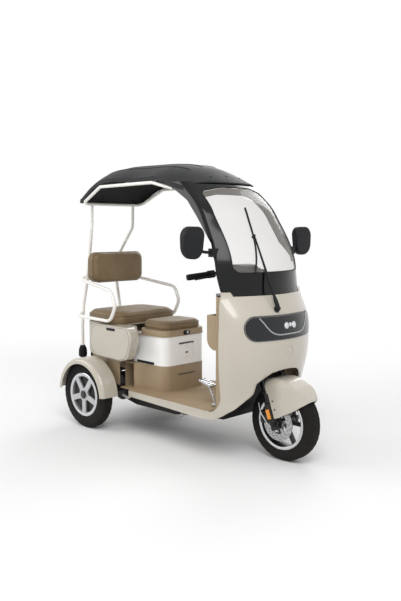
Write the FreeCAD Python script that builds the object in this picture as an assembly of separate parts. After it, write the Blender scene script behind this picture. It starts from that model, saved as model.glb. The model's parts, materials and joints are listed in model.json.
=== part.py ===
import FreeCAD, Part
import math
import os

V = FreeCAD.Vector

# All lengths in millimetres, angles in degrees.
# Tables give X from the front axle (forward is positive) and Z from the ground.
# The saved pieces are moved forward by ORIGIN_BACK, so that the part's origin lies
# on the ground midway along the vehicle.
ORIGIN_BACK = 689.5

# Wheels
wheelbase = 1291.0
tyre_radius = 210.0
front_tyre_width = 90.0
front_rim_radius = 146.0
rear_tyre_width = 80.0
rear_rim_radius = 134.0
rear_wheel_y = 339.0
rim_bore_radius = 10.0
axle_play = 0.3
spoke_count = 5
disc_radius = 95.0
disc_thickness = 4.0
disc_y = -63.0

# Steering
rake = 20.0
trail = 36.0
fork_offset = 30.0
fork_leg_y = 88.0
slider_radius = 20.0
stanchion_radius = 16.0
crown_height = 505.0
stem_radius = 15.0
stem_play = 0.3
head_tube_wall = 4.0
head_low = 560.0
head_high = 830.0
bar_radius = 11.0
bar_height = 985.0
grip_radius = 16.0
grip_length = 120.0
bar_half_width = 322.0

# Front fender
fender_wall = 4.0
fender_half_width = 102.0

# Front shell and its side rails
shell_wall = 5.0
shell_rear_x = -165.0
rail_rear_x = -985.0
rail_rear_y = 268.0
rail_low = 231.0
rail_high = 277.0

# Windscreen
screen_wall = 7.0
glass_wall = 4.0
screen_low = 893.0
seat_gap = 0.3

# Floor and inner shield
floor_top = 272.0
floor_wall = 8.0
shield_wall = 5.0
arch_rear_x = -236.0

# Seats and boxes
box_front_x = -758.0
box_rear_x = -1085.0
box_half_width = 172.0
box_low = 425.0
box_high = 602.0
box_wall = 5.0
box_corner = 60.0
base_front_x = -756.0
lid_rear_x = -1006.0
deck_front_x = -1000.0
lid_height = 34.0
lid_play = 0.5
cushion_height = 58.0
rear_box_front_x = -1000.0
rear_box_rear_x = -1405.0
rear_box_half_width = 236.0
side_box_half_width = 300.0
rear_box_low = 446.0
rear_box_high = 652.0

# Rear body
rear_fender_radius = 232.0
rear_fender_inner_y = 290.0
rear_fender_outer_y = 405.0
axle_tube_radius = 22.0
rear_body_half = 132.0
rear_body_rear_x = -1512.0

# Canopy
tube_radius = 11.0
canopy_radius = 10.0
bow_radius = 7.0
roof_wall = 6.0
roof_edge = 22.0


# Basic shapes

def block(x0, x1, y0, y1, z0, z1, corner=0.0):
    """Box between two corners, with its upright edges rounded."""
    solid = Part.makeBox(x1 - x0, y1 - y0, z1 - z0, V(x0, y0, z0))
    if corner:
        upright = [e for e in solid.Edges if abs(e.tangentAt(e.FirstParameter).z) > 0.99]
        solid = solid.makeFillet(corner, upright)
    return solid


def round_bar(start, end, radius):
    """Solid round bar between two points."""
    return Part.makeCylinder(radius, (end - start).Length, start, end - start)


def ring(start, end, radius, bore):
    """Round tube between two points."""
    return round_bar(start, end, radius).cut(round_bar(start, end, bore))


def corner_arc(before, point, after, radius):
    """Start, middle and end of the tangent arc that rounds a corner."""
    u = (before - point).normalize()
    w = (after - point).normalize()
    half = u.getAngle(w) / 2
    middle = (u + w).normalize()
    run = radius / math.tan(half)
    arc_middle = point + middle * (radius / math.sin(half) - radius)
    return point + u * run, arc_middle, point + w * run


def outline(corners, to_space):
    """Closed wire through corners (a, b, radius), each rounded by a tangent arc."""
    count = len(corners)
    arcs = []
    for i, (a, b, radius) in enumerate(corners):
        point = to_space(a, b)
        if radius:
            before = to_space(*corners[i - 1][:2])
            after = to_space(*corners[(i + 1) % count][:2])
            arcs.append(corner_arc(before, point, after, radius))
        else:
            arcs.append((point, None, point))
    edges = []
    for i, (first, middle, last) in enumerate(arcs):
        if middle is not None:
            edges.append(Part.Arc(first, middle, last).toShape())
        start_next = arcs[(i + 1) % count][0]
        if (start_next - last).Length > 1e-6:
            edges.append(Part.LineSegment(last, start_next).toShape())
    return Part.Wire(edges)


def side_plate(corners, y0, y1):
    """Side profile of corners (x, z, radius), carried across from y0 to y1."""
    face = Part.Face(outline(corners, lambda x, z: V(x, y0, z)))
    return face.extrude(V(0, y1 - y0, 0))


def plan_plate(corners, z0, z1):
    """Plan profile of corners (x, y, radius), carried up from z0 to z1."""
    face = Part.Face(outline(corners, lambda x, y: V(x, y, z0)))
    return face.extrude(V(0, 0, z1 - z0))


def front_plate(corners, x0, x1):
    """Front-view profile of corners (y, z, radius), carried along from x0 to x1."""
    face = Part.Face(outline(corners, lambda y, z: V(x0, y, z)))
    return face.extrude(V(x1 - x0, 0, 0))


def tube(points, radius, bend):
    """Round bar along straight runs joined by bends of one radius."""
    points = [V(*p) for p in points]
    edges = []
    start = points[0]
    for i in range(1, len(points) - 1):
        first, middle, last = corner_arc(points[i - 1], points[i], points[i + 1], bend)
        edges.append(Part.LineSegment(start, first).toShape())
        edges.append(Part.Arc(first, middle, last).toShape())
        start = last
    edges.append(Part.LineSegment(start, points[-1]).toShape())
    path = Part.Wire(edges)
    section = Part.Wire(Part.makeCircle(radius, points[0], points[1] - points[0]))
    return path.makePipeShell([section], True, False)


def turned(corners, x, z):
    """Ring turned about the cross line at x, z, from corners (y, r, radius)."""
    face = Part.Face(outline(corners, lambda y, r: V(x, y, z + r)))
    return face.revolve(V(x, 0, z), V(0, 1, 0), 360)


def mirrored(solid):
    """The same piece on the other side of the vehicle."""
    return solid.mirror(V(0, 0, 0), V(0, 1, 0))


def both(solid):
    """A piece and its mirror image."""
    return [solid, mirrored(solid)]


def joined(solids):
    """One solid out of several that overlap or touch."""
    first = solids[0]
    return first.fuse(solids[1:]).removeSplitter() if len(solids) > 1 else first


# Bowed sections for the front shell and the windscreen

def arc_start(nose, half, nose_radius, side_radius):
    """X where the side arcs of a bowed section start."""
    between = nose_radius - side_radius
    return nose - nose_radius + math.sqrt(between ** 2 - (half - side_radius) ** 2)


def bow(section, inset, tail_x, tail_half):
    """Plan section: two side lines and three tangent arcs round the nose."""
    z, nose, half, nose_radius, side_radius = section
    start = arc_start(nose, half, nose_radius, side_radius)
    side_y = half - side_radius
    nose_x = nose - nose_radius
    turn = math.atan2(side_y, start - nose_x)
    small = side_radius - inset
    large = nose_radius - inset

    def on_side(angle, sign):
        return V(start + small * math.cos(angle), sign * (side_y + small * math.sin(angle)), z)

    right_end, left_end = on_side(math.pi / 2, -1), on_side(math.pi / 2, 1)
    right_touch, left_touch = on_side(turn, -1), on_side(turn, 1)
    middle = (math.pi / 2 + turn) / 2
    right_tail = V(tail_x, inset - tail_half, z)
    left_tail = V(tail_x, tail_half - inset, z)
    return Part.Wire([
        Part.LineSegment(right_tail, right_end).toShape(),
        Part.Arc(right_end, on_side(middle, -1), right_touch).toShape(),
        Part.Arc(right_touch, V(nose_x + large, 0, z), left_touch).toShape(),
        Part.Arc(left_touch, on_side(middle, 1), left_end).toShape(),
        Part.LineSegment(left_end, left_tail).toShape(),
        Part.LineSegment(left_tail, right_tail).toShape(),
    ])


# z, nose X, half width, radius of the nose arc, radius of the side arcs
SHELL_SECTIONS = [
    (225, -45, 342, 500, 120),
    (330, -27, 346, 505, 120),
    (430, -8, 350, 507, 120),
    (540, 19, 352, 512, 120),
    (660, 26, 353, 517, 120),
    (790, 8, 350, 507, 110),
    (880, -40, 360, 530, 60),
    (925, -45, 360, 535, 50),
]
SCREEN_SECTIONS = [
    (880, -46, 360, 535, 50),
    (1000, -58, 350, 500, 50),
    (1061, -64, 340, 480, 50),
    (1189, -118, 327, 480, 50),
    (1305, -194, 314, 480, 50),
    (1394, -268, 306, 480, 50),
    (1440, -322, 302, 480, 50),
    (1480, -365, 301, 480, 50),
    (1520, -430, 300, 480, 50),
]
screen_tail_x = -640.0


def shell_form(inset):
    """Outer form of the front shell, drawn in by inset."""
    wires = [bow(section, inset, rail_rear_x - inset * 4, rail_rear_y)
             for section in SHELL_SECTIONS]
    return Part.makeLoft(wires, True, False)


def screen_form(inset):
    """Outer form of the windscreen, drawn in by inset."""
    wires = [bow(section, inset, screen_tail_x - inset * 4, section[2])
             for section in SCREEN_SECTIONS]
    return Part.makeLoft(wires, True, False)


def shell_side_profile(top):
    """Side outline of the front shell with the rails that run back from it."""
    return [
        (shell_rear_x, top, 0),
        (shell_rear_x, rail_high, 95),
        (-500, rail_high - 2, 200),
        (rail_rear_x, rail_high - 12, 0),
        (rail_rear_x, rail_low, 0),
        (-520, rail_low, 200),
        (-390, rail_low - 2, 200),
        (-205, rail_low + 6, 200),
        (-116, 300, 90),
        (-66, 372, 90),
        (-48, 432, 40),
        (-8, 486, 30),
        (60, 538, 0),
        (60, top, 0),
    ]


def front_shell():
    """Front shell with its two side rails, one thin moulding."""
    skin = shell_form(0).cut(shell_form(shell_wall))
    skin = skin.common(side_plate(shell_side_profile(screen_low + 22), -400, 400))
    notch = side_plate([(-130, screen_low, 0), (60, screen_low, 0), (60, 940, 0), (-150, 940, 0)],
                       -400, 400)
    return skin.cut(notch)


# X and Z along the rear edge of the windscreen's side
SCREEN_REAR_EDGE = [(-160, 880), (-177, 925), (-213, 1069), (-247, 1166), (-368, 1310),
                    (-445, 1394), (-560, 1462)]


def screen_side_profile():
    """Side outline of the windscreen."""
    corners = [(x, z, 0) for x, z in SCREEN_REAR_EDGE]
    return corners + [(-590, 1476, 0), (-620, 1497, 0), (-300, 1497, 0), (60, 1300, 0),
                      (60, 880, 0)]


# y, z, corner radius of the glass seen from the front
GLASS_OUTLINE = [(-264, 1016, 36), (264, 1016, 36), (258, 1320, 400), (245, 1440, 30),
                 (120, 1464, 200), (-120, 1464, 200), (-245, 1440, 30), (-258, 1320, 400)]


def windscreen():
    """Windscreen frame and its glass."""
    trim = side_plate(screen_side_profile(), -400, 400)
    window = front_plate(GLASS_OUTLINE, -500, 60)
    frame = screen_form(shell_wall + seat_gap).cut(screen_form(shell_wall + seat_gap + screen_wall))
    frame = frame.common(trim).cut(window).cut(roof_cap())
    frame = max(frame.Solids, key=lambda s: s.Volume)
    inset = shell_wall + seat_gap + 1.0
    glass = screen_form(inset).cut(screen_form(inset + glass_wall))
    glass = glass.common(trim).common(front_plate(GLASS_OUTLINE, -500, 60))
    return frame, glass


def headlamp_band():
    """Dark lamp glass that wraps the front of the shell."""
    band = shell_form(-4).cut(shell_form(-seat_gap))
    outline_corners = [(-270, 668, 57), (270, 668, 57), (270, 786, 57), (-270, 786, 57)]
    return band.common(front_plate(outline_corners, -140, 60))


def shield_plan(inset):
    """Plan outline of the inner shield, drawn in by inset."""
    rear_x = shield_rear_x + inset
    return [(10, inset - 325, 0), (-205, inset - 325, 30 - inset), (rear_x, inset - 222, 60 - inset),
            (rear_x, 222 - inset, 60 - inset), (-205, 325 - inset, 30 - inset),
            (10, 325 - inset, 0)]


# x, z and corner radius up the rear face of the inner shield
SHIELD_FACE = [(-262, 890, 20), (-262, 600, 60), (-284, 480, 60), (-284, floor_top + 1, 0)]
shield_rear_x = -306.0
pocket_rear_x = -297.0
pocket_low = 602.0
pocket_high = 787.0
pocket_wall = 4.0


def pocket_block(side, grow, top):
    """One glove pocket, its lower corners rounded, thickened by grow."""
    y0, y1 = sorted((side * (115 - grow), side * (296 + grow)))
    profile = [(pocket_rear_x + pocket_wall - grow, top, 0),
               (pocket_rear_x + pocket_wall - grow, pocket_low + pocket_wall - grow, 60),
               (-222 + grow, pocket_low + pocket_wall - grow, 0), (-222 + grow, top, 0)]
    return side_plate(profile, y0, y1)


def inner_shield():
    """Leg shield that faces the rider: a spine over the steering head and two glove pockets."""
    front = shell_rear_x - 1
    profile = SHIELD_FACE + [(front, floor_top + 1, 0), (front, 890, 0)]
    inside = shell_form(shell_wall + seat_gap)
    outer = side_plate(profile, -400, 400).common(plan_plate(shield_plan(0), 200, 900))
    outer = outer.common(inside)
    spine = side_plate([(front, floor_top + 1, 0), (-282, floor_top + 1, 40), (-303, 500, 60),
                        (-303, 890, 20), (front, 890, 0)], -60, 60)
    flange = block(front - shield_wall, front, -400, 400, floor_top + 1, 890)
    flange = flange.common(inside)
    inner_face = [(x + shield_wall, z - (shield_wall if z > 880 else 0), r)
                  for x, z, r in SHIELD_FACE[:-1]]
    inner_profile = inner_face + [(-284 + shield_wall, 200, 0), (0, 200, 0),
                                  (0, 890 - shield_wall, 0)]
    hollow = side_plate(inner_profile, -400, 400).common(
        plan_plate(shield_plan(shield_wall), 100, 895))
    spine_hollow = side_plate([(0, 200, 0), (-277, 200, 0), (-298, 500, 56), (-298, 885, 16),
                               (0, 885, 0)], -55, 55)
    pockets = [pocket_block(side, pocket_wall, pocket_high) for side in (-1, 1)]
    shield = joined([outer, spine, flange])
    shield = shield.cut(hollow).cut(spine_hollow)
    shield = joined([shield] + pockets)
    for side in (-1, 1):
        shield = shield.cut(pocket_block(side, 0, pocket_high + 1))
    column = round_bar(axis_point(640), axis_point(960), 34)
    return shield.cut(column)


def axis_point(z):
    """Point of the steering axis at height z."""
    return V(trail - z * math.tan(math.radians(rake)), 0, z)


def axis_up():
    """Direction of the steering axis."""
    return V(-math.sin(math.radians(rake)), 0, math.cos(math.radians(rake)))


def fork_point(z, y):
    """Point of a fork leg's centre line at height z."""
    ahead = fork_offset / math.cos(math.radians(rake))
    return V(axis_point(z).x + ahead, y, z)


def dash_panel():
    """Dark tray between the windscreen and the inner shield."""
    tray = screen_form(shell_wall + seat_gap * 2 + screen_wall)
    tray = tray.common(block(-286, 60, -400, 400, 890.3, 897))
    ahead = block(shell_rear_x - 2, 60, -400, 400, 880, 900)
    tray = tray.common(ahead.fuse(plan_plate(shield_plan(0), 880, 900)))
    return tray.cut(round_bar(axis_point(820), axis_point(980), 40))


def wheel_arch():
    """Dark liner over and behind the front wheel."""
    profile = [(arch_rear_x, 250, 0), (arch_rear_x, 470, 42), (-150, 545, 60), (5, 560, 0),
               (5, 564, 0), (-152, 549, 60), (arch_rear_x - 4, 473, 42), (arch_rear_x - 4, 250, 0)]
    liner = side_plate(profile, -320, 320)
    liner = liner.common(shell_form(shell_wall + 1))
    liner = liner.common(plan_plate(shield_plan(shield_wall + 1), 200, 700))
    return liner.cut(round_bar(axis_point(500), axis_point(600), 26))


def floor_pan():
    """Foot floor between the side rails, with a narrower end behind them."""
    front, rear = -276.0, -1090.0
    low = floor_top - floor_wall
    between = block(rail_rear_x, front, -400, 400, low, floor_top)
    between = between.common(shell_form(shell_wall + seat_gap))
    behind_half = rail_rear_y - shell_wall - 20
    behind = block(rear, rail_rear_x + 40, -behind_half, behind_half, low, floor_top)
    return joined([between, behind])


def under_tray():
    """Dark tray under the floor."""
    corners = [(-262, floor_top - floor_wall, 0), (-1085, floor_top - floor_wall, 0),
               (-1085, 190, 30), (-980, 170, 40), (-640, 170, 80), (-430, 198, 60),
               (-262, 208, 0)]
    tray = side_plate(corners, -205, 205)
    inner = side_plate([(-267, 300, 0), (-1080, 300, 0), (-1080, 196, 25), (-978, 176, 36),
                        (-641, 176, 76), (-431, 204, 58), (-267, 214, 0)], -199, 199)
    tray = tray.cut(inner)
    for rail in both(tube(RAIL, rail_radius + 1, 40)):
        tray = tray.cut(rail)
    return tray


RAIL = [(-222, 45, 565), (-257, 95, 480), (-257, 95, 235), (-345, 95, 235), (-1100, 120, 235),
        (-1182, 150, 330), (-1575, 165, 330), (-1575, 165, 458)]
rail_radius = 14.0
shock_top_x = -1360.0
shock_top_z = 350.0
shock_tie_radius = 10.0


def chassis_frame():
    """Welded tube frame: steering head, two long rails, cross tubes."""
    head = ring(axis_point(head_low), axis_point(head_high), stem_radius + stem_play + head_tube_wall,
                stem_radius + stem_play)
    rails = both(tube(RAIL, rail_radius, 40))
    ties = [
        round_bar(V(-222, -45, 565), V(-222, 45, 565), rail_radius),
        round_bar(V(-1060, -118, 235), V(-1060, 118, 235), rail_radius - 2),
        round_bar(V(-1300, -152, 330), V(-1300, 152, 330), rail_radius - 2),
        round_bar(V(-1530, -162, 330), V(-1530, 162, 330), rail_radius - 2),
        round_bar(V(-500, -98, 235), V(-500, 98, 235), rail_radius - 2),
        round_bar(V(shock_top_x, -218, shock_top_z), V(shock_top_x, 218, shock_top_z),
                  shock_tie_radius),
    ]
    stay = rear_fender_inner_y - seat_gap
    for x in (-1420, -1190):
        ties.append(round_bar(V(x, -stay, 330), V(x, stay, 330), 10))
    gusset = side_plate([(-180, 575, 0), (-222, 560, 0), (-222, 620, 0), (-200, 680, 0)], -6, 6)
    frame = joined([head] + rails + ties + [gusset])
    bore = round_bar(axis_point(500), axis_point(900), stem_radius + stem_play)
    return frame.cut(bore)


def battery_pack():
    """Battery, one plain block under the driver's seat."""
    return block(-1050, -790, -130, 130, floor_top, box_low - 10, 12)


# Wheels

def tyre(x, y, width, rim):
    """Tyre with a rounded tread and shoulders."""
    half = width / 2
    corners = [(-half + 6, rim, 4), (-half, rim + 24, 18), (-half + 8, tyre_radius - 14, 12),
               (-half * 0.42, tyre_radius, 30), (half * 0.42, tyre_radius, 30),
               (half - 8, tyre_radius - 14, 12), (half, rim + 24, 18), (half - 6, rim, 4)]
    return turned([(y + a, r, c) for a, r, c in corners], x, tyre_radius)


def spoke_windows(x, y0, y1, count, inner, outer, width, turn):
    """Cutters for the openings between the spokes of a wheel."""
    cutters = []
    for i in range(count):
        angle = math.radians(turn + 360 / count * i)
        reach = math.pi / count
        low = reach - math.asin(width / 2 / inner)
        high = reach - math.asin(width / 2 / outer)

        def at(r, a):
            return V(x + r * math.cos(angle + a), y0, tyre_radius + r * math.sin(angle + a))

        face = Part.Face(Part.Wire([
            Part.LineSegment(at(inner, low), at(outer, high)).toShape(),
            Part.Arc(at(outer, high), at(outer, 0), at(outer, -high)).toShape(),
            Part.LineSegment(at(outer, -high), at(inner, -low)).toShape(),
            Part.Arc(at(inner, -low), at(inner, 0), at(inner, low)).toShape(),
        ]))
        cutters.append(face.extrude(V(0, y1 - y0, 0)))
    return cutters


def rear_wheel(side):
    """Rear tyre and rim; side is -1 on the right and 1 on the left."""
    y = side * rear_wheel_y
    rubber = tyre(-wheelbase, y, rear_tyre_width, rear_rim_radius)
    face_y = y + side * (rear_tyre_width / 2 - 4)
    inner_y = y - side * (rear_tyre_width / 2 - 6)
    lip = rear_rim_radius - seat_gap
    barrel = turned([(inner_y, lip, 0), (inner_y, lip - 12, 0), (face_y, lip - 12, 0),
                     (face_y, lip, 0)], -wheelbase, tyre_radius)
    y_in, y_out = sorted((face_y - side * 12, face_y))
    plate = Part.makeCylinder(lip - 6, y_out - y_in, V(-wheelbase, y_in, tyre_radius), V(0, 1, 0))
    for cutter in spoke_windows(-wheelbase, y_in - 1, y_out + 1, spoke_count, 42, lip - 18, 34, 90):
        plate = plate.cut(cutter)
    h_in, h_out = sorted((y - side * 40, face_y + side * 2))
    hub = Part.makeCylinder(34, h_out - h_in, V(-wheelbase, h_in, tyre_radius), V(0, 1, 0))
    rim = joined([barrel, plate, hub])
    b_in, b_out = sorted((y - side * 41, face_y - side * 14))
    bore = Part.makeCylinder(rim_bore_radius + axle_play, b_out - b_in,
                             V(-wheelbase, b_in, tyre_radius), V(0, 1, 0))
    return rubber, rim.cut(bore)


def front_wheel():
    """Front tyre, cast rim and brake disc."""
    rubber = tyre(0, 0, front_tyre_width, front_rim_radius)
    half = front_tyre_width / 2
    lip = front_rim_radius - seat_gap
    barrel = turned([(-half + 4, lip, 0), (-half + 4, lip - 12, 0), (0, lip - 18, 20),
                     (half - 4, lip - 12, 0), (half - 4, lip, 0)], 0, tyre_radius)
    plate = Part.makeCylinder(lip - 14, 18, V(0, -9, tyre_radius), V(0, 1, 0))
    for cutter in spoke_windows(0, -12, 12, 6, 34, lip - 17, 20, 90):
        plate = plate.cut(cutter)
    hub = Part.makeCylinder(30, 110, V(0, -55, tyre_radius), V(0, 1, 0))
    bore = Part.makeCylinder(rim_bore_radius + axle_play, 200, V(0, -100, tyre_radius), V(0, 1, 0))
    rim = joined([barrel, plate, hub]).cut(bore)
    disc = Part.makeCylinder(disc_radius, disc_thickness, V(0, disc_y, tyre_radius), V(0, 1, 0))
    disc = disc.cut(Part.makeCylinder(62, 20, V(0, disc_y - 8, tyre_radius), V(0, 1, 0)))
    carrier = Part.makeCylinder(66, -55.3 - disc_y, V(0, disc_y, tyre_radius), V(0, 1, 0))
    for cutter in spoke_windows(0, disc_y - 2, -50, 5, 30, 58, 14, 54):
        carrier = carrier.cut(cutter)
    disc = joined([disc, carrier]).cut(bore)
    return rubber, rim, disc


# Steered pieces

def fork():
    """Telescopic fork with its crown, stem, wheel axle and the tabs that hold the fender."""
    inner_face = fender_half_width - fender_wall - seat_gap
    pieces = [block(-100, 0, disc_y - 22, disc_y - 16.3, 204, 246)]
    for y in (-fork_leg_y, fork_leg_y):
        pieces.append(round_bar(fork_point(360, y), fork_point(crown_height + 8, y), stanchion_radius))
        pieces.append(round_bar(fork_point(178, y), fork_point(372, y), slider_radius))
        pieces.append(block(-24, 16, y - 9, y + 9, tyre_radius - 18, tyre_radius + 18))
        y0, y1 = sorted((math.copysign(inner_face - 4, y), math.copysign(inner_face, y)))
        pieces.append(block(-100, -5, y0, y1, 328, 350))
    crown_low, crown_high = axis_point(crown_height - 22), axis_point(crown_height)
    lean = FreeCAD.Rotation(V(0, 1, 0), -rake)
    crown = Part.makeBox(78, 2 * fork_leg_y + 46, 22, V(-26, -fork_leg_y - 23, 0))
    crown = crown.makeFillet(20, [e for e in crown.Edges
                                  if abs(e.tangentAt(e.FirstParameter).z) > 0.99])
    crown.Placement = FreeCAD.Placement(crown_low, lean)
    pieces.append(crown)
    pieces.append(round_bar(crown_high - axis_up() * 10, axis_point(bar_height - 42), stem_radius))
    axle = Part.makeCylinder(rim_bore_radius, 2 * fork_leg_y + 30,
                             V(0, -fork_leg_y - 15, tyre_radius), V(0, 1, 0))
    pieces.append(axle)
    return joined(pieces)


# x, z and corner radius round the side outline of the front fender
FENDER_OUTLINE = [(-170, 247, 0), (-192, 400, 130), (-60, 450, 150), (30, 454, 150),
                  (120, 410, 200), (192, 362, 0), (186, 348, 0), (110, 294, 80), (22, 246, 60),
                  (-85, 232, 40)]
# x, y and corner radius round one side of its plan, from the tail to the tip
FENDER_PLAN = [(-300, 0, 0), (40, 0, 150), (140, -34, 150), (192, -76, 20)]
fender_round = 45.0


def fender_plan(inset):
    """Plan outline of the front fender, drawn in by inset."""
    half = fender_half_width - inset
    right = [(x - inset * 0.5, -half - y, radius) for x, y, radius in FENDER_PLAN]
    return right + [(x, -y, radius) for x, y, radius in reversed(right)]


def fender_block(inset):
    """The fender's outer form, drawn in by inset, its crown rounded into its sides."""
    half = fender_half_width - inset
    wire = outline(FENDER_OUTLINE, lambda x, z: V(x, -half, z))
    if inset:
        wire = wire.makeOffset2D(-inset)
    solid = Part.Face(wire).extrude(V(0, 2 * half, 0))

    def on_crown(edge):
        middle = edge.valueAt((edge.FirstParameter + edge.LastParameter) / 2)
        low = 240 + max(0.0, middle.x) * 0.5
        flat = abs(edge.BoundBox.YLength) < 0.01
        return flat and abs(abs(middle.y) - half) < 0.01 and middle.z > low + 25

    rounded = solid.makeFillet(fender_round - inset, [e for e in solid.Edges if on_crown(e)])
    return rounded.common(plan_plate(fender_plan(inset), 150, 500))


def front_fender():
    """Front fender: rounded crown over the tyre, side skirts, slots for the fork."""
    skin = fender_block(0)
    room = fender_block(fender_wall)
    for back, drop in ((0, 0), (0, 8), (0, 16), (6, 0), (12, 0), (12, 12)):
        opening = room.copy()
        opening.translate(V(-back, 0, -drop))
        skin = skin.cut(opening)
    for y in (-fork_leg_y, fork_leg_y):
        skin = skin.cut(round_bar(fork_point(150, y), fork_point(470, y), slider_radius + 2))
        y0, y1 = sorted((y * 1.05, y * 1.5))
        skin = skin.cut(side_plate([(-30, 200, 0), (20, 200, 0), (-40, 370, 0), (-90, 370, 0)],
                                   y0, y1))
    return max(skin.Solids, key=lambda s: s.Volume)


# x, y and z along the handlebar
bar_end = V(-415, bar_half_width, bar_height - 4)
bar_bend = V(-352, 170, bar_height + 14)
BAR_PATH = [(bar_end.x, -bar_end.y, bar_end.z), (bar_bend.x, -bar_bend.y, bar_bend.z),
            (-322, -70, bar_height - 14), (-322, 70, bar_height - 14),
            tuple(bar_bend), tuple(bar_end)]
clamp_radius = 22.0


def handlebar_form(grow):
    """Handlebar with its clamp on the stem, thickened by grow."""
    foot = axis_point(bar_height - 41.7)
    clamp = round_bar(foot, foot + axis_up() * 40, clamp_radius + grow)
    return joined([tube(BAR_PATH, bar_radius + grow, 45), clamp])


def grip(side):
    """Rubber grip on one end of the bar."""
    a = V(bar_bend.x, side * bar_bend.y, bar_bend.z)
    b = V(bar_end.x, side * bar_end.y, bar_end.z)
    along = (b - a).normalize()
    start = b - along * grip_length
    sleeve = ring(start, b + along * 4, grip_radius, bar_radius + seat_gap)
    cap = round_bar(b + along * seat_gap, b + along * 6, grip_radius)
    return joined([sleeve, cap])


def controls(side):
    """Switch block and brake lever beside one grip."""
    a = V(bar_bend.x, side * bar_bend.y, bar_bend.z)
    b = V(bar_end.x, side * bar_end.y, bar_end.z)
    along = (b - a).normalize()
    start = b - along * (grip_length + 32)
    housing = ring(start, start + along * 30, 21, bar_radius + seat_gap)
    pivot = start + along * 8 + V(22, 0, -4)
    lever = tube([tuple(pivot), tuple(pivot + V(16, side * 22, -4)),
                  tuple(b + V(42, -side * 8, -10))], 5, 10)
    return joined([housing, lever])


def instrument():
    """Instrument pod on the middle of the bar."""
    profile = [(-352, 985, 10), (-338, 1046, 14), (-262, 1042, 26), (-226, 985, 26),
               (-250, 950, 20), (-300, 950, 0), (-330, 978, 0)]
    pod = side_plate(profile, -66, 66).cut(handlebar_form(seat_gap))
    return max(pod.Solids, key=lambda s: s.Volume)


def brake_caliper():
    """Brake caliper round the rear of the disc, on the right fork leg."""
    body = block(-112, -62, disc_y - 16, disc_y + 14, 205, 265, 8)
    slot = Part.makeCylinder(disc_radius + 5, disc_thickness + 4,
                             V(0, disc_y - 2, tyre_radius), V(0, 1, 0))
    inner = Part.makeCylinder(72, 60, V(0, disc_y - 30, tyre_radius), V(0, 1, 0))
    return body.cut(slot).cut(inner)


# Seats

def seat_box():
    """White storage box under the driver's seat, open at the top."""
    outer = block(box_rear_x, box_front_x, -box_half_width, box_half_width, box_low, box_high,
                  box_corner)
    inner = block(box_rear_x + box_wall, box_front_x - box_wall, -box_half_width + box_wall,
                  box_half_width - box_wall, box_low + box_wall, box_high + 1,
                  box_corner - box_wall)
    deck = block(box_rear_x + box_wall, deck_front_x, -box_half_width + box_wall,
                 box_half_width - box_wall, box_high - box_wall, box_high + 2)
    inner = inner.cut(deck)
    window = block(box_front_x - 12, box_front_x + 1, -62, 62, 455, 560)
    return outer.cut(inner).cut(window)


def box_door():
    """Small door in the front of the seat box, hinged at its lower edge."""
    panel = block(box_front_x - 6, box_front_x - 1, -60, 60, 455 + seat_gap, 558)
    handle = block(box_front_x - 1, box_front_x + 6, -16, 16, 536, 550)
    return joined([panel, handle])


def base_plan(inset):
    """Plan outline of the lower body: straight sides that flare out at its rear end."""
    rear, front = box_rear_x - 10 + inset, base_front_x - inset
    narrow, wide = 176 - inset, 246 - inset
    right = [(rear, -wide, 0), (-1035 - inset, -wide, 50), (-990 - inset, -narrow, 50),
             (front, -narrow, 66 - inset)]
    return right + [(x, -y, radius) for x, y, radius in reversed(right)]


def seat_box_base():
    """Tan lower body under the seat box, open below."""
    corners = [(box_rear_x - 10, floor_top, 0), (base_front_x, floor_top, 0),
               (base_front_x - 4, box_low - seat_gap, 0),
               (box_rear_x - 10, box_low - seat_gap, 0)]
    inner = [(box_rear_x - 5, floor_top - 5, 0), (base_front_x - 7, floor_top - 5, 0),
             (base_front_x - 11, box_low - 7, 0), (box_rear_x - 5, box_low - 7, 0)]
    plan = base_plan(0)
    inner_plan = base_plan(5)
    outer = side_plate(corners, -200, 200).common(plan_plate(plan, 200, 500))
    hollow = side_plate(inner, -200, 200).common(plan_plate(inner_plan, 200, 500))
    return outer.cut(hollow)


def seat_lid():
    """Tan lid of the seat box that carries the driver's cushion."""
    low = box_high + lid_play
    lid = block(lid_rear_x, box_front_x + 2, -box_half_width - 2, box_half_width + 2, low,
                low + lid_height, box_corner)
    hollow = block(lid_rear_x + 6, box_front_x - 4, -box_half_width + 4, box_half_width - 4,
                   low - 1, low + lid_height - 8, box_corner - 6)
    return lid.cut(hollow)


def driver_cushion():
    """Driver's cushion, a plain rounded pad."""
    low = box_high + lid_play + lid_height
    pad = block(lid_rear_x + 8, box_front_x - 4, -box_half_width + 6, box_half_width - 6, low,
                low + cushion_height, box_corner - 4)
    return pad.makeFillet(20, [e for e in pad.Edges if e.BoundBox.ZMin > low + cushion_height - 1])


def lid_lock():
    """Key lock on the front of the lid."""
    z = box_high + lid_play + lid_height / 2
    return round_bar(V(box_front_x + 2, 0, z), V(box_front_x + 10, 0, z), 11)


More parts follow.
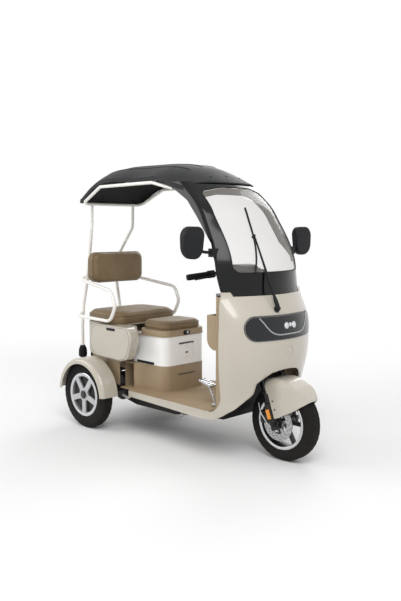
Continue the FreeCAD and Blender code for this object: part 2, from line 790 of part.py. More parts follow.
def rear_seat_box():
    """Cream box that carries the passenger's cushion."""
    corners = [(rear_box_rear_x, rear_box_low, 30), (-1040, rear_box_low, 40),
               (-1012, 478, 30), (rear_box_front_x + 20, 590, 30), (rear_box_front_x, rear_box_high, 0),
               (rear_box_rear_x, rear_box_high, 0)]
    inner = [(rear_box_rear_x + 5, rear_box_low + 5, 25), (-1042, rear_box_low + 5, 36),
             (-1017, 480, 26), (rear_box_front_x + 14, 590, 26),
             (rear_box_front_x - 6, rear_box_high - 5, 0), (rear_box_rear_x + 5, rear_box_high - 5, 0)]
    outer = side_plate(corners, -rear_box_half_width, rear_box_half_width)
    hollow = side_plate(inner, -rear_box_half_width + 5, rear_box_half_width - 5)
    room = block(box_rear_x - 8, rear_box_front_x + 60, -box_half_width - 14, box_half_width + 14,
                 400, 640)
    lid_room = block(box_rear_x - 8, rear_box_front_x + 60, -box_half_width - 14,
                     box_half_width + 14, 600, 700)
    return outer.cut(hollow).cut(room).cut(lid_room)


# x, z and corner radius round the side face of a side box
SIDE_BOX = [(-1300, 650, 45), (-948, 652, 45), (-920, 578, 30), (-963, 458, 45), (-1034, 441, 40),
            (-1285, 450, 45), (-1329, 534, 40)]


def side_box(side):
    """Rounded cream cover at one side of the rear seat box, open towards it."""
    inner_y = rear_box_half_width + seat_gap
    cover = side_plate(SIDE_BOX, inner_y, side_box_half_width)
    cover = cover.makeFillet(12, [e for e in cover.Edges
                                  if e.BoundBox.YMin > side_box_half_width - 1])
    wire = outline(SIDE_BOX, lambda x, z: V(x, inner_y - 1, z)).makeOffset2D(-4)
    room = Part.Face(wire).extrude(V(0, side_box_half_width - 4 - inner_y, 0))
    cover = cover.cut(room)
    return cover if side > 0 else mirrored(cover)


def rear_cushion():
    """Passenger's cushion, a plain rounded pad."""
    low = rear_box_high
    pad = block(-1432, -1095, -245, 245, low, low + 80, 60)
    return pad.makeFillet(24, [e for e in pad.Edges if e.BoundBox.ZMin > low + 79])


def backrest():
    """Backrest cushion."""
    pad = block(-1450, -1372, -208, 208, 895, 1088)
    upright = [e for e in pad.Edges if abs(e.tangentAt(e.FirstParameter).x) > 0.99]
    pad = pad.makeFillet(50, upright)
    return pad.makeFillet(20, [e for e in pad.Edges if e.BoundBox.XMin > -1373])


def rear_body():
    """Tan body between the rear wheels."""
    low = shock_top_z + shock_tie_radius + seat_gap
    high = rear_box_low - seat_gap
    corners = [(-1108, low, 0), (-1108, high, 0), (rear_body_rear_x, high, 30),
               (rear_body_rear_x, low, 0)]
    return side_plate(corners, -rear_body_half, rear_body_half)


def rear_fender(side):
    """Rear fender: strip over the tyre with an outer flange."""
    inner, outer = rear_fender_inner_y, rear_fender_outer_y
    over = turned([(inner, 190, 0), (inner, rear_fender_radius, 0),
                   (outer, rear_fender_radius, 24), (outer, 196, 0)], -wheelbase, tyre_radius)
    under = turned([(inner - 5, 150, 0), (inner - 5, rear_fender_radius - 4, 0),
                    (outer - 4, rear_fender_radius - 4, 20), (outer - 4, 150, 0)],
                   -wheelbase, tyre_radius)
    rear, front = -wheelbase - 300, -wheelbase + 300
    sector = side_plate([(rear, tyre_radius + 26, 0), (-wheelbase, tyre_radius, 0),
                         (front, tyre_radius + 16, 0), (front, 600, 0), (rear, 600, 0)],
                        inner - 10, outer + 10)
    skin = over.cut(under).common(sector)
    inner_wall = turned([(inner, 150, 0), (inner, rear_fender_radius - 4, 0),
                         (inner + 3, rear_fender_radius - 4, 0), (inner + 3, 150, 0)],
                        -wheelbase, tyre_radius)
    upper = block(rear, front, inner - 10, outer + 10, tyre_radius + 60, 600)
    skin = joined([skin, inner_wall.common(upper)])
    return skin if side > 0 else mirrored(skin)


def rear_lamp(side):
    """Rear lamp on the rear face of the rear body."""
    lamp = block(rear_body_rear_x - 26, rear_body_rear_x - seat_gap, 97, 131, 388, 440, 10)
    return lamp if side > 0 else mirrored(lamp)


def rear_axle():
    """Rear axle tube with the drive motor and the wheel stubs."""
    stub = rear_wheel_y + rear_tyre_width / 2 - 24
    parts = [
        round_bar(V(-wheelbase, -285, tyre_radius), V(-wheelbase, 285, tyre_radius),
                  axle_tube_radius),
        round_bar(V(-wheelbase, -stub, tyre_radius), V(-wheelbase, stub, tyre_radius),
                  rim_bore_radius),
        round_bar(V(-wheelbase, -70, tyre_radius), V(-wheelbase, 80, tyre_radius), 82),
    ]
    return joined(parts)


def trailing_arm():
    """Arm that holds the axle to the frame."""
    arm = tube([(-1112, 146, 262), (-1200, 175, 240), (-wheelbase, 175, 214)], 11, 60)
    arm = arm.cut(round_bar(V(-wheelbase, 100, tyre_radius), V(-wheelbase, 300, tyre_radius),
                            axle_tube_radius + seat_gap))
    arm = arm.cut(tube(RAIL, rail_radius + seat_gap, 40))
    return max(arm.Solids, key=lambda s: s.Volume)


def rear_shock():
    """Spring and damper over the axle."""
    top = V(shock_top_x, 202, shock_top_z)
    foot = V(-wheelbase, 212, tyre_radius)
    span = top - foot
    shock = joined([round_bar(foot, top, 8), round_bar(foot + span * 0.3, foot + span * 0.85, 20)])
    axle = round_bar(V(-wheelbase, 100, tyre_radius), V(-wheelbase, 300, tyre_radius),
                     axle_tube_radius + seat_gap)
    tie = round_bar(V(shock_top_x, 100, shock_top_z), V(shock_top_x, 300, shock_top_z),
                    shock_tie_radius + seat_gap)
    shock = shock.cut(axle).cut(tie)
    return max(shock.Solids, key=lambda s: s.Volume)


# Canopy

# X, half width, edge Z, crown Z
ROOF_SECTIONS = [
    (-370, 284, 1398, 1492),
    (-460, 298, 1446, 1550),
    (-560, 300, 1468, 1592),
    (-660, 292, 1500, 1612),
    (-760, 278, 1514, 1620),
    (-1000, 272, 1516, 1624),
    (-1240, 270, 1508, 1617),
    (-1350, 264, 1464, 1580),
    (-1465, 250, 1402, 1440),
]
roof_nose_x = -375.0
roof_nose_radius = 480.0


def arch_section(x, half, edge, crown, inset, drop):
    """Cross-section of the roof: flat below, short upright sides, one arc over the crown."""
    low = edge - drop
    side = edge + roof_edge - inset
    right, left = V(x, inset - half, low), V(x, half - inset, low)
    right_up, left_up = V(x, inset - half, side), V(x, half - inset, side)
    return Part.Wire([
        Part.LineSegment(right, right_up).toShape(),
        Part.Arc(right_up, V(x, 0, crown - inset), left_up).toShape(),
        Part.LineSegment(left_up, left).toShape(),
        Part.LineSegment(left, right).toShape(),
    ])


def roof_trim():
    """Plan of the roof, its front edge an arc that follows the windscreen."""
    reach = 330.0
    side_x = roof_nose_x - roof_nose_radius + math.sqrt(roof_nose_radius ** 2 - reach ** 2)
    right, left = V(side_x, -reach, 1300), V(side_x, reach, 1300)
    rear_right, rear_left = V(-1500, -reach, 1300), V(-1500, reach, 1300)
    wire = Part.Wire([
        Part.Arc(right, V(roof_nose_x, 0, 1300), left).toShape(),
        Part.LineSegment(left, rear_left).toShape(),
        Part.LineSegment(rear_left, rear_right).toShape(),
        Part.LineSegment(rear_right, right).toShape(),
    ])
    return Part.Face(wire).extrude(V(0, 0, 400))


def roof_cap():
    """Moulded roof, open below and at its front edge."""
    outer = [arch_section(x, h, e, c, 0, 0) for x, h, e, c in ROOF_SECTIONS]
    inner = [arch_section(x, h, e, c, roof_wall, 60) for x, h, e, c in ROOF_SECTIONS[:-1]]
    x, h, e, c = ROOF_SECTIONS[-1]
    inner.append(arch_section(x + roof_wall, h, e, c, roof_wall, 60))
    skin = Part.makeLoft(outer, True, False).cut(Part.makeLoft(inner, True, False))
    return skin.common(roof_trim())


CANOPY_TUBE = [(-575, -278.4, 1461), (-760, -268, 1503), (-1240, -262, 1497), (-1446, -244, 1398),
               (-1446, 244, 1398), (-1240, 262, 1497), (-760, 268, 1503), (-575, 278.4, 1461)]
POST = [(-1446, 172, 1387.7), (-1450, 172, 1250), (-1540, 124, 1070), (-1571, 127, 880),
        (-1575, 153, 740), (-1575, 165, 600), (-1575, 165, 458.6)]
ARMREST = [(-1570, 150, 922), (-1480, 232, 910), (-1140, 270, 862), (-1098, 270, 768),
           (-1150, 270, 672), (-1480, 264, 680), (-1574, 172, 682)]


def roof_bow(x, apex):
    """Arched cross tube that carries the roof's crown."""
    arc = Part.Wire([Part.Arc(V(x, -266, 1502), V(x, 0, apex), V(x, 266, 1502)).toShape()])
    tangent = arc.Edges[0].tangentAt(arc.Edges[0].FirstParameter)
    section = Part.Wire(Part.makeCircle(bow_radius, V(x, -266, 1502), tangent))
    return arc.makePipeShell([section], True, False)


def canopy_frame():
    """Cream tube that runs round under the roof, with two bows under its crown."""
    bows = [roof_bow(x, crown - roof_wall - bow_radius - 1.0)
            for x, half, edge, crown in ROOF_SECTIONS[4:6]]
    return joined([tube(CANOPY_TUBE, canopy_radius, 50)] + bows)


def rear_frame():
    """Two rear posts with their cross bars."""
    posts = both(tube(POST, tube_radius, 60))
    bars = [round_bar(V(-1566, -126, 910), V(-1566, 126, 910), 11),
            round_bar(V(-1556, -126, 1010), V(-1556, 126, 1010), 11)]
    arms = [round_bar(V(-1566, y, z), V(-1450.3, y, z), 9) for y in (-80, 80) for z in (910, 1010)]
    return joined(posts + bars + arms)


def armrest(side):
    """Armrest loop beside the passenger's seat."""
    loop = tube(ARMREST, tube_radius, 60)
    post = tube(POST, tube_radius + seat_gap, 60)
    loop = loop.cut(post)
    loop = max(loop.Solids, key=lambda s: s.Volume)
    return loop if side > 0 else mirrored(loop)


# y, z and corner radius round a mirror's face
MIRROR = [(378, 1252, 46), (535, 1254, 56), (528, 1096, 66), (404, 1080, 60)]


def mirror_head(side):
    """Mirror housing with its arm on the windscreen pillar."""
    head = front_plate(MIRROR, -268, -228)
    rims = [e for e in head.Edges if abs(e.tangentAt(e.FirstParameter).x) < 0.01]
    head = head.makeFillet(9, rims)
    arm = tube([(-250, 410, 1130), (-246, 372, 1122), (-232, 330, 1118)], 8, 12)
    clamp = block(-246, -208, 296, 348, 1096, 1140, 6).cut(screen_form(shell_wall))
    clamp = max(clamp.Solids, key=lambda s: s.Volume)
    arm = arm.cut(screen_form(shell_wall))
    piece = joined([head, arm, clamp])
    return piece if side > 0 else mirrored(piece)


def surface_x(form, y, z):
    """X of the front surface of a form at y and z."""
    line = Part.makeLine(V(-700, y, z), V(200, y, z))
    return line.common(form).BoundBox.XMax


def on_screen(form, y, z, lift):
    """Point in front of the windscreen at y and z, lifted off it."""
    return surface_x(form, y, z) + lift, y, z


def wiper():
    """Windscreen wiper, parked upright, its spindle on the shell's top edge."""
    screen = screen_form(shell_wall + seat_gap)
    pivot_y, pivot_z = -72.0, 819.0
    pivot_x = surface_x(shell_form(0), pivot_y, pivot_z)
    spindle = round_bar(V(pivot_x + 5.8, pivot_y, pivot_z), V(pivot_x + 26, pivot_y, pivot_z), 10)
    arm = tube([(pivot_x + 20, pivot_y, pivot_z), on_screen(screen, -86, 940, 34),
                on_screen(screen, -102, 1090, 28), on_screen(screen, -114, 1196, 20)], 6, 60)
    blade = tube([on_screen(screen, -157, 1018, 10), on_screen(screen, -133, 1120, 13),
                  on_screen(screen, -104, 1230, 13), on_screen(screen, -76, 1348, 10)], 5, 100)
    joint = round_bar(V(*on_screen(screen, -114, 1196, 8)), V(*on_screen(screen, -114, 1196, 24)), 7)
    return joined([spindle, arm, blade, joint])


def brake_pedal():
    """Foot brake pedal in front of the right foot."""
    pad = side_plate([(-431, 399, 3), (-431, 409, 3), (-343, 386, 3), (-343, 376, 3)], -226, -174)
    stem = tube([(-387, -200, 392), (-350, -200, 330), (-326, -200, floor_top + 6)], 6, 12)
    foot = block(-344, -308, -218, -182, floor_top, floor_top + 10, 4)
    return joined([pad, stem, foot])


def plate_bracket():
    """Rear plate bracket with two screw holes."""
    plate = block(-1534, -1530, -90, 90, 350, 440)
    for y in (-60, 60):
        plate = plate.cut(round_bar(V(-1540, y, 395), V(-1526, y, 395), 3.5))
    lug = block(-1530, rear_body_rear_x - seat_gap, -30, 30, 364, 384)
    return joined([plate, lug])


def fork_reflector(side):
    """Orange reflector on one fork leg."""
    centre = fork_point(262, side * (fork_leg_y + slider_radius + 3 + seat_gap))
    body = Part.makeBox(20, 6, 52, V(-10, -3, -26))
    body.Placement = FreeCAD.Placement(centre, FreeCAD.Rotation(V(0, 1, 0), -rake))
    return body


def save(name, shape):
    """Move one piece to the part's origin and write it."""
    placed = shape.copy()
    placed.translate(V(ORIGIN_BACK, 0, 0))
    placed.exportStep(os.path.join("parts", name + ".step"))
    return placed


def pieces():
    """Every node's name and its shape."""
    frame, glass = windscreen()
    tyre_front, rim_front, disc = front_wheel()
    tyre_right, rim_right = rear_wheel(-1)
    tyre_left, rim_left = rear_wheel(1)
    nodes = {
        "chassis_frame": chassis_frame(),
        "battery_pack": battery_pack(),
        "under_tray": under_tray(),
        "floor_pan": floor_pan(),
        "front_shell": front_shell(),
        "inner_shield": inner_shield(),
        "wheel_arch": wheel_arch(),
        "headlamp_band": headlamp_band(),
        "windscreen_frame": frame,
        "windscreen_glass": glass,
        "dash_panel": dash_panel(),
        "wiper": wiper(),
        "roof_cap": roof_cap(),
        "canopy_frame": canopy_frame(),
        "rear_frame": rear_frame(),
        "armrest_right": armrest(-1),
        "armrest_left": armrest(1),
        "backrest": backrest(),
        "rear_cushion": rear_cushion(),
        "rear_seat_box": rear_seat_box(),
        "side_box_right": side_box(-1),
        "side_box_left": side_box(1),
        "seat_box": seat_box(),
        "box_door": box_door(),
        "seat_box_base": seat_box_base(),
        "seat_lid": seat_lid(),
        "driver_cushion": driver_cushion(),
        "lid_lock": lid_lock(),
        "rear_body": rear_body(),
        "rear_fender_right": rear_fender(-1),
        "rear_fender_left": rear_fender(1),
        "rear_lamps": Part.makeCompound([rear_lamp(-1), rear_lamp(1)]),
        "rear_axle": rear_axle(),
        "trailing_arms": Part.makeCompound(both(trailing_arm())),
        "rear_shocks": Part.makeCompound(both(rear_shock())),
        "rear_tyre_right": tyre_right,
        "rear_rim_right": rim_right,
        "rear_tyre_left": tyre_left,
        "rear_rim_left": rim_left,
        "fork": fork(),
        "front_fender": front_fender(),
        "fork_reflectors": Part.makeCompound([fork_reflector(-1), fork_reflector(1)]),
        "handlebar": handlebar_form(0),
        "grips": Part.makeCompound([grip(-1), grip(1)]),
        "controls": Part.makeCompound([controls(-1), controls(1)]),
        "instrument": instrument(),
        "brake_caliper": brake_caliper(),
        "front_tyre": tyre_front,
        "front_rim": rim_front,
        "brake_disc": disc,
        "mirror_right": mirror_head(-1),
        "mirror_left": mirror_head(1),
        "brake_pedal": brake_pedal(),
        "plate_bracket": plate_bracket(),
    }
    return nodes


def main():
    """Write every piece and print the overall size."""
    os.makedirs("parts", exist_ok=True)
    whole = FreeCAD.BoundBox()
    for name, shape in pieces().items():
        placed = save(name, shape)
        whole.add(placed.BoundBox)
        print(name, len(placed.Solids), placed.isValid(), round(placed.Volume / 1000))
    print("overall", [round(v, 2) for v in (whole.XMin, whole.XMax, whole.YMin, whole.YMax,
                                            whole.ZMin, whole.ZMax)])


main()
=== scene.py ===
"""Looks of a covered three-wheeled electric scooter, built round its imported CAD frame.

Sizes are in millimetres with X from the front axle, as in the part's source; place()
moves them to the part's own origin in metres. +X is forward and +Y the vehicle's left.
"""
from __future__ import annotations

import json
import logging
import math
from dataclasses import dataclass
from enum import Enum
from typing import Callable, Iterable, Sequence

import bmesh
import bpy
import numpy as np
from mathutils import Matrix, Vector
from mathutils.bvhtree import BVHTree

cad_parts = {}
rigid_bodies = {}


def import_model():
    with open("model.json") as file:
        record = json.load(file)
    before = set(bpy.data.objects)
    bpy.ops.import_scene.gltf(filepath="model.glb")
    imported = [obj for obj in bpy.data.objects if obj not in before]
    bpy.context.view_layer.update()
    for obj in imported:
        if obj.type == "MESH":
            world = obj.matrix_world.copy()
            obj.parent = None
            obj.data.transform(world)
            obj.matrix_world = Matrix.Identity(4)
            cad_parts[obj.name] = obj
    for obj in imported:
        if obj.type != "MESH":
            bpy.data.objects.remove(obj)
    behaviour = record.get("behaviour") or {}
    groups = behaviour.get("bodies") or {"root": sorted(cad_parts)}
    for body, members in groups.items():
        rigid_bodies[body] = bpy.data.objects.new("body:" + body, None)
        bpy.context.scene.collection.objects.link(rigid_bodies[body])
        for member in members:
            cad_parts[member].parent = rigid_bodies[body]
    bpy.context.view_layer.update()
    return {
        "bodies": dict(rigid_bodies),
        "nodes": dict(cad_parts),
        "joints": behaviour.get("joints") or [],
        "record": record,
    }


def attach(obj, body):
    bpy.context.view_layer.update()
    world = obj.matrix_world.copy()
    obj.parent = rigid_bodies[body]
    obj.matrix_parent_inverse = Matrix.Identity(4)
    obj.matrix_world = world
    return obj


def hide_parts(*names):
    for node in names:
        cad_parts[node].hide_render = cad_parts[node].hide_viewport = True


LOG = logging.getLogger("scooter")

ORIGIN_BACK = 689.5
METRE = 0.001
Array = np.ndarray
Material = bpy.types.Material
Thing = bpy.types.Object


class Body(str, Enum):
    """The CAD bodies that pieces ride on."""

    CHASSIS = "chassis"
    STEERING = "steering"
    FRONT_WHEEL = "front_wheel"
    REAR_RIGHT = "rear_wheel_right"
    REAR_LEFT = "rear_wheel_left"
    LID = "lid"
    DOOR = "door"


class Grain(Enum):
    """Kinds of fine relief that a finish can carry."""

    SMOOTH = "smooth"
    PEBBLED = "pebbled"
    MOULDED = "moulded"
    BRUSHED = "brushed"


def srgb(code: str) -> tuple[float, float, float, float]:
    """Turn a screen colour into linear light.

    Args:
        code: Six hexadecimal digits, red first.

    Returns:
        Red, green, blue and an alpha of one.
    """
    parts = np.array([int(code[i:i + 2], 16) for i in (0, 2, 4)]) / 255
    linear = np.where(parts <= 0.04045, parts / 12.92, ((parts + 0.055) / 1.055) ** 2.4)
    return (*map(float, linear), 1.0)


def place(points: Array) -> Array:
    """Turn millimetres from the front axle into the part's metres.

    Args:
        points: Any array whose last axis is X, Y, Z.

    Returns:
        The same points in the part's frame.
    """
    moved = np.array(points, float)
    moved[..., 0] += ORIGIN_BACK
    return moved * METRE


# Shader node groups

class Graph:
    """A node tree that is filled by short calls."""

    def __init__(self, tree: bpy.types.NodeTree) -> None:
        """Keep the tree that the calls add to."""
        self.tree = tree

    def add(self, kind: str, **settings: object) -> bpy.types.Node:
        """Add a node and set its properties."""
        node = self.tree.nodes.new(kind)
        for key, value in settings.items():
            setattr(node, key, value)
        return node

    def join(self, source: bpy.types.NodeSocket, target: bpy.types.NodeSocket) -> None:
        """Link one output to one input."""
        self.tree.links.new(source, target)

    def put(self, value: object, target: bpy.types.NodeSocket) -> None:
        """Link an input to the value if that is a socket, otherwise set it."""
        if isinstance(value, bpy.types.NodeSocket):
            self.join(value, target)
        else:
            target.default_value = value

    def feed(self, node: bpy.types.Node, **values: object) -> bpy.types.Node:
        """Link or set a node's inputs by name, and give the node back."""
        for key, value in values.items():
            self.put(value, node.inputs[key.replace("_", " ")])
        return node

    def group(self, tree: bpy.types.NodeTree, **values: object) -> bpy.types.Node:
        """Place a node group and fill its inputs."""
        return self.feed(self.add("ShaderNodeGroup", node_tree=tree), **values)

    def math(self, operation: str, first: object, second: object = 0.5,
             clamp: bool = False) -> bpy.types.NodeSocket:
        """Combine two sockets or numbers.

        Args:
            operation: Name of the Math node's operation.
            first: Socket or number.
            second: Socket or number.
            clamp: Whether the result is kept from 0 to 1.

        Returns:
            The result's socket.
        """
        node = self.add("ShaderNodeMath", operation=operation, use_clamp=clamp)
        self.put(first, node.inputs[0])
        self.put(second, node.inputs[1])
        return node.outputs[0]

    def blend(self, share: object, first: object, second: object) -> bpy.types.NodeSocket:
        """Mix two colours.

        Args:
            share: Socket or number, 0 for the first colour and 1 for the second.
            first: Socket or colour.
            second: Socket or colour.

        Returns:
            The mixed colour's socket.
        """
        node = self.add("ShaderNodeMix", data_type="RGBA")
        for slot, value in ((0, share), (6, first), (7, second)):
            self.put(value, node.inputs[slot])
        return node.outputs[2]


def cleared(holder: Material | bpy.types.World) -> Graph:
    """Empty node tree of a new material or world."""
    holder.use_nodes = True
    holder.node_tree.nodes.clear()
    return Graph(holder.node_tree)


def new_group(name: str, inputs: Sequence[tuple], outputs: Sequence[tuple]) -> tuple:
    """Start a shader node group.

    Args:
        name: The group's name.
        inputs: Pairs of socket name and default, or None for a vector.
        outputs: Pairs of socket name and socket kind.

    Returns:
        The tree, its graph, its input node and its output node.
    """
    tree = bpy.data.node_groups.new(name, "ShaderNodeTree")
    for label, value in inputs:
        kind = "Vector" if value is None else "Color" if isinstance(value, tuple) else "Float"
        socket = tree.interface.new_socket(label, in_out="INPUT",
                                           socket_type="NodeSocket" + kind)
        if value is not None:
            socket.default_value = value
    for label, kind in outputs:
        tree.interface.new_socket(label, in_out="OUTPUT", socket_type="NodeSocket" + kind)
    graph = Graph(tree)
    return tree, graph, graph.add("NodeGroupInput"), graph.add("NodeGroupOutput")


GREY = (0.5, 0.5, 0.5, 1.0)
WHITE = (1.0, 1.0, 1.0, 1.0)


def mottle_group() -> bpy.types.NodeTree:
    """Slow drift of colour and gloss, as moulded and painted parts have."""
    tree, graph, inlet, outlet = new_group(
        "mottle", [("Vector", None), ("Color", GREY), ("Shade", GREY), ("Scale", 8.0),
                   ("Amount", 0.5), ("Roughness", 0.5), ("Spread", 0.1)],
        [("Color", "Color"), ("Roughness", "Float")])
    noise = graph.feed(graph.add("ShaderNodeTexNoise"), Detail=6.0, Roughness=0.62,
                       Vector=inlet.outputs["Vector"], Scale=inlet.outputs["Scale"])
    spread = graph.feed(graph.add("ShaderNodeMapRange"), From_Min=0.3, From_Max=0.7,
                        Value=noise.outputs["Fac"])
    share = graph.math("MULTIPLY", spread.outputs[0], inlet.outputs["Amount"])
    colour = graph.blend(share, inlet.outputs["Color"], inlet.outputs["Shade"])
    centred = graph.math("SUBTRACT", spread.outputs[0], 0.5)
    drift = graph.math("MULTIPLY", centred, inlet.outputs["Spread"])
    rough = graph.math("ADD", drift, inlet.outputs["Roughness"], clamp=True)
    graph.feed(outlet, Color=colour, Roughness=rough)
    return tree


def dust_group() -> bpy.types.NodeTree:
    """Road dust that thins out from the ground up."""
    tree, graph, inlet, outlet = new_group(
        "road_dust", [("Vector", None), ("Color", GREY), ("Roughness", 0.5),
                      ("Dust", GREY), ("Low", 0.05), ("High", 0.45), ("Amount", 0.3)],
        [("Color", "Color"), ("Roughness", "Float")])
    split = graph.add("ShaderNodeSeparateXYZ")
    graph.join(inlet.outputs["Vector"], split.inputs[0])
    fade = graph.feed(graph.add("ShaderNodeMapRange"), Value=split.outputs["Z"],
                      From_Min=inlet.outputs["High"], From_Max=inlet.outputs["Low"])
    noise = graph.feed(graph.add("ShaderNodeTexNoise"), Scale=22.0, Detail=8.0,
                       Vector=inlet.outputs["Vector"])
    patch = graph.math("MULTIPLY", fade.outputs[0], noise.outputs["Fac"])
    share = graph.math("MULTIPLY", patch, inlet.outputs["Amount"], clamp=True)
    graph.feed(outlet, Color=graph.blend(share, inlet.outputs["Color"], inlet.outputs["Dust"]),
               Roughness=graph.math("ADD", inlet.outputs["Roughness"], share, clamp=True))
    return tree


def relief_group(kind: Grain) -> bpy.types.NodeTree:
    """Height of one kind of fine relief, from 0 to 1."""
    tree, graph, inlet, outlet = new_group(
        "relief_" + kind.value, [("Vector", None), ("Scale", 400.0)],
        [("Height", "Float")])
    vector, scale = inlet.outputs["Vector"], inlet.outputs["Scale"]
    if kind is Grain.PEBBLED:
        cells = graph.feed(graph.add("ShaderNodeTexVoronoi", feature="SMOOTH_F1"), Smoothness=0.35,
                           Vector=vector, Scale=scale)
        wrinkle = graph.feed(graph.add("ShaderNodeTexNoise"), Detail=3.0, Vector=vector,
                             Scale=graph.math("MULTIPLY", scale, 0.12))
        fold = graph.math("MULTIPLY", wrinkle.outputs["Fac"], 0.8)
        height = graph.math("ADD", graph.math("MULTIPLY", cells.outputs["Distance"], -0.6), fold)
    elif kind is Grain.BRUSHED:
        stretch = graph.add("ShaderNodeVectorMath", operation="MULTIPLY")
        stretch.inputs[1].default_value = (1.0, 24.0, 24.0)
        graph.join(vector, stretch.inputs[0])
        noise = graph.feed(graph.add("ShaderNodeTexNoise"), Vector=stretch.outputs[0],
                           Scale=graph.math("MULTIPLY", scale, 0.08))
        height = noise.outputs["Fac"]
    else:
        noise = graph.feed(graph.add("ShaderNodeTexNoise"), Vector=vector, Scale=scale,
                           Detail=4.0 if kind is Grain.MOULDED else 1.0)
        height = noise.outputs["Fac"]
    graph.join(height, outlet.inputs["Height"])
    return tree


class Effects:
    """The node groups that every finish shares, each built once."""

    def __init__(self) -> None:
        """Build the groups."""
        self.mottle = mottle_group()
        self.dust = dust_group()
        self.relief = {kind: relief_group(kind) for kind in Grain}


DUST_COLOUR = "8C7F6E"
EDGE_BLEND = 0.25
EDGE_SHEEN = 0.35


@dataclass(frozen=True)
class Finish:
    """One finish: its colours, gloss, relief and the record's slot it stands for."""

    slot: str
    colour: str
    shade: str
    roughness: float
    metallic: float = 0.0
    coat: float = 0.0
    coat_roughness: float = 0.05
    grain: Grain = Grain.SMOOTH
    grain_scale: float = 300.0
    relief: float = 0.03
    spread: float = 0.12
    drift: float = 0.6
    drift_scale: float = 7.0
    dust: float = 0.25
    dust_top: float = 0.45
    alpha: float = 1.0
    glow: float = 0.0
    specular: float = 0.5

    def build(self, effects: Effects) -> Material:
        """Make the material.

        Args:
            effects: The shared node groups.

        Returns:
            The finished material.
        """
        made = bpy.data.materials.new(self.slot)
        graph = cleared(made)
        shader = graph.add("ShaderNodeBsdfPrincipled")
        graph.feed(graph.add("ShaderNodeOutputMaterial"), Surface=shader.outputs[0])
        spot = graph.add("ShaderNodeTexCoord").outputs["Object"]
        mottle = graph.group(effects.mottle, Vector=spot, Color=srgb(self.colour),
                             Shade=srgb(self.shade), Scale=self.drift_scale, Amount=self.drift,
                             Roughness=self.roughness, Spread=self.spread)
        dust = graph.group(effects.dust, Vector=spot, Dust=srgb(DUST_COLOUR), Amount=self.dust,
                           High=self.dust_top, Color=mottle.outputs["Color"],
                           Roughness=mottle.outputs["Roughness"])
        height = graph.group(effects.relief[self.grain], Vector=spot, Scale=self.grain_scale)
        bump = graph.feed(graph.add("ShaderNodeBump"), Strength=self.relief, Distance=METRE,
                          Height=height.outputs["Height"])
        graph.feed(shader, Base_Color=dust.outputs["Color"], Roughness=dust.outputs["Roughness"],
                   Normal=bump.outputs[0], Metallic=self.metallic, Coat_Weight=self.coat,
                   Coat_Roughness=self.coat_roughness, Specular_IOR_Level=self.specular)
        if self.alpha < 1.0:
            edge = graph.feed(graph.add("ShaderNodeLayerWeight"), Blend=EDGE_BLEND)
            sheen = graph.math("MULTIPLY", edge.outputs["Facing"], EDGE_SHEEN)
            graph.feed(shader, Alpha=graph.math("ADD", sheen, self.alpha, clamp=True))
        if self.glow:
            graph.feed(shader, Emission_Color=srgb(self.colour), Emission_Strength=self.glow)
        return made


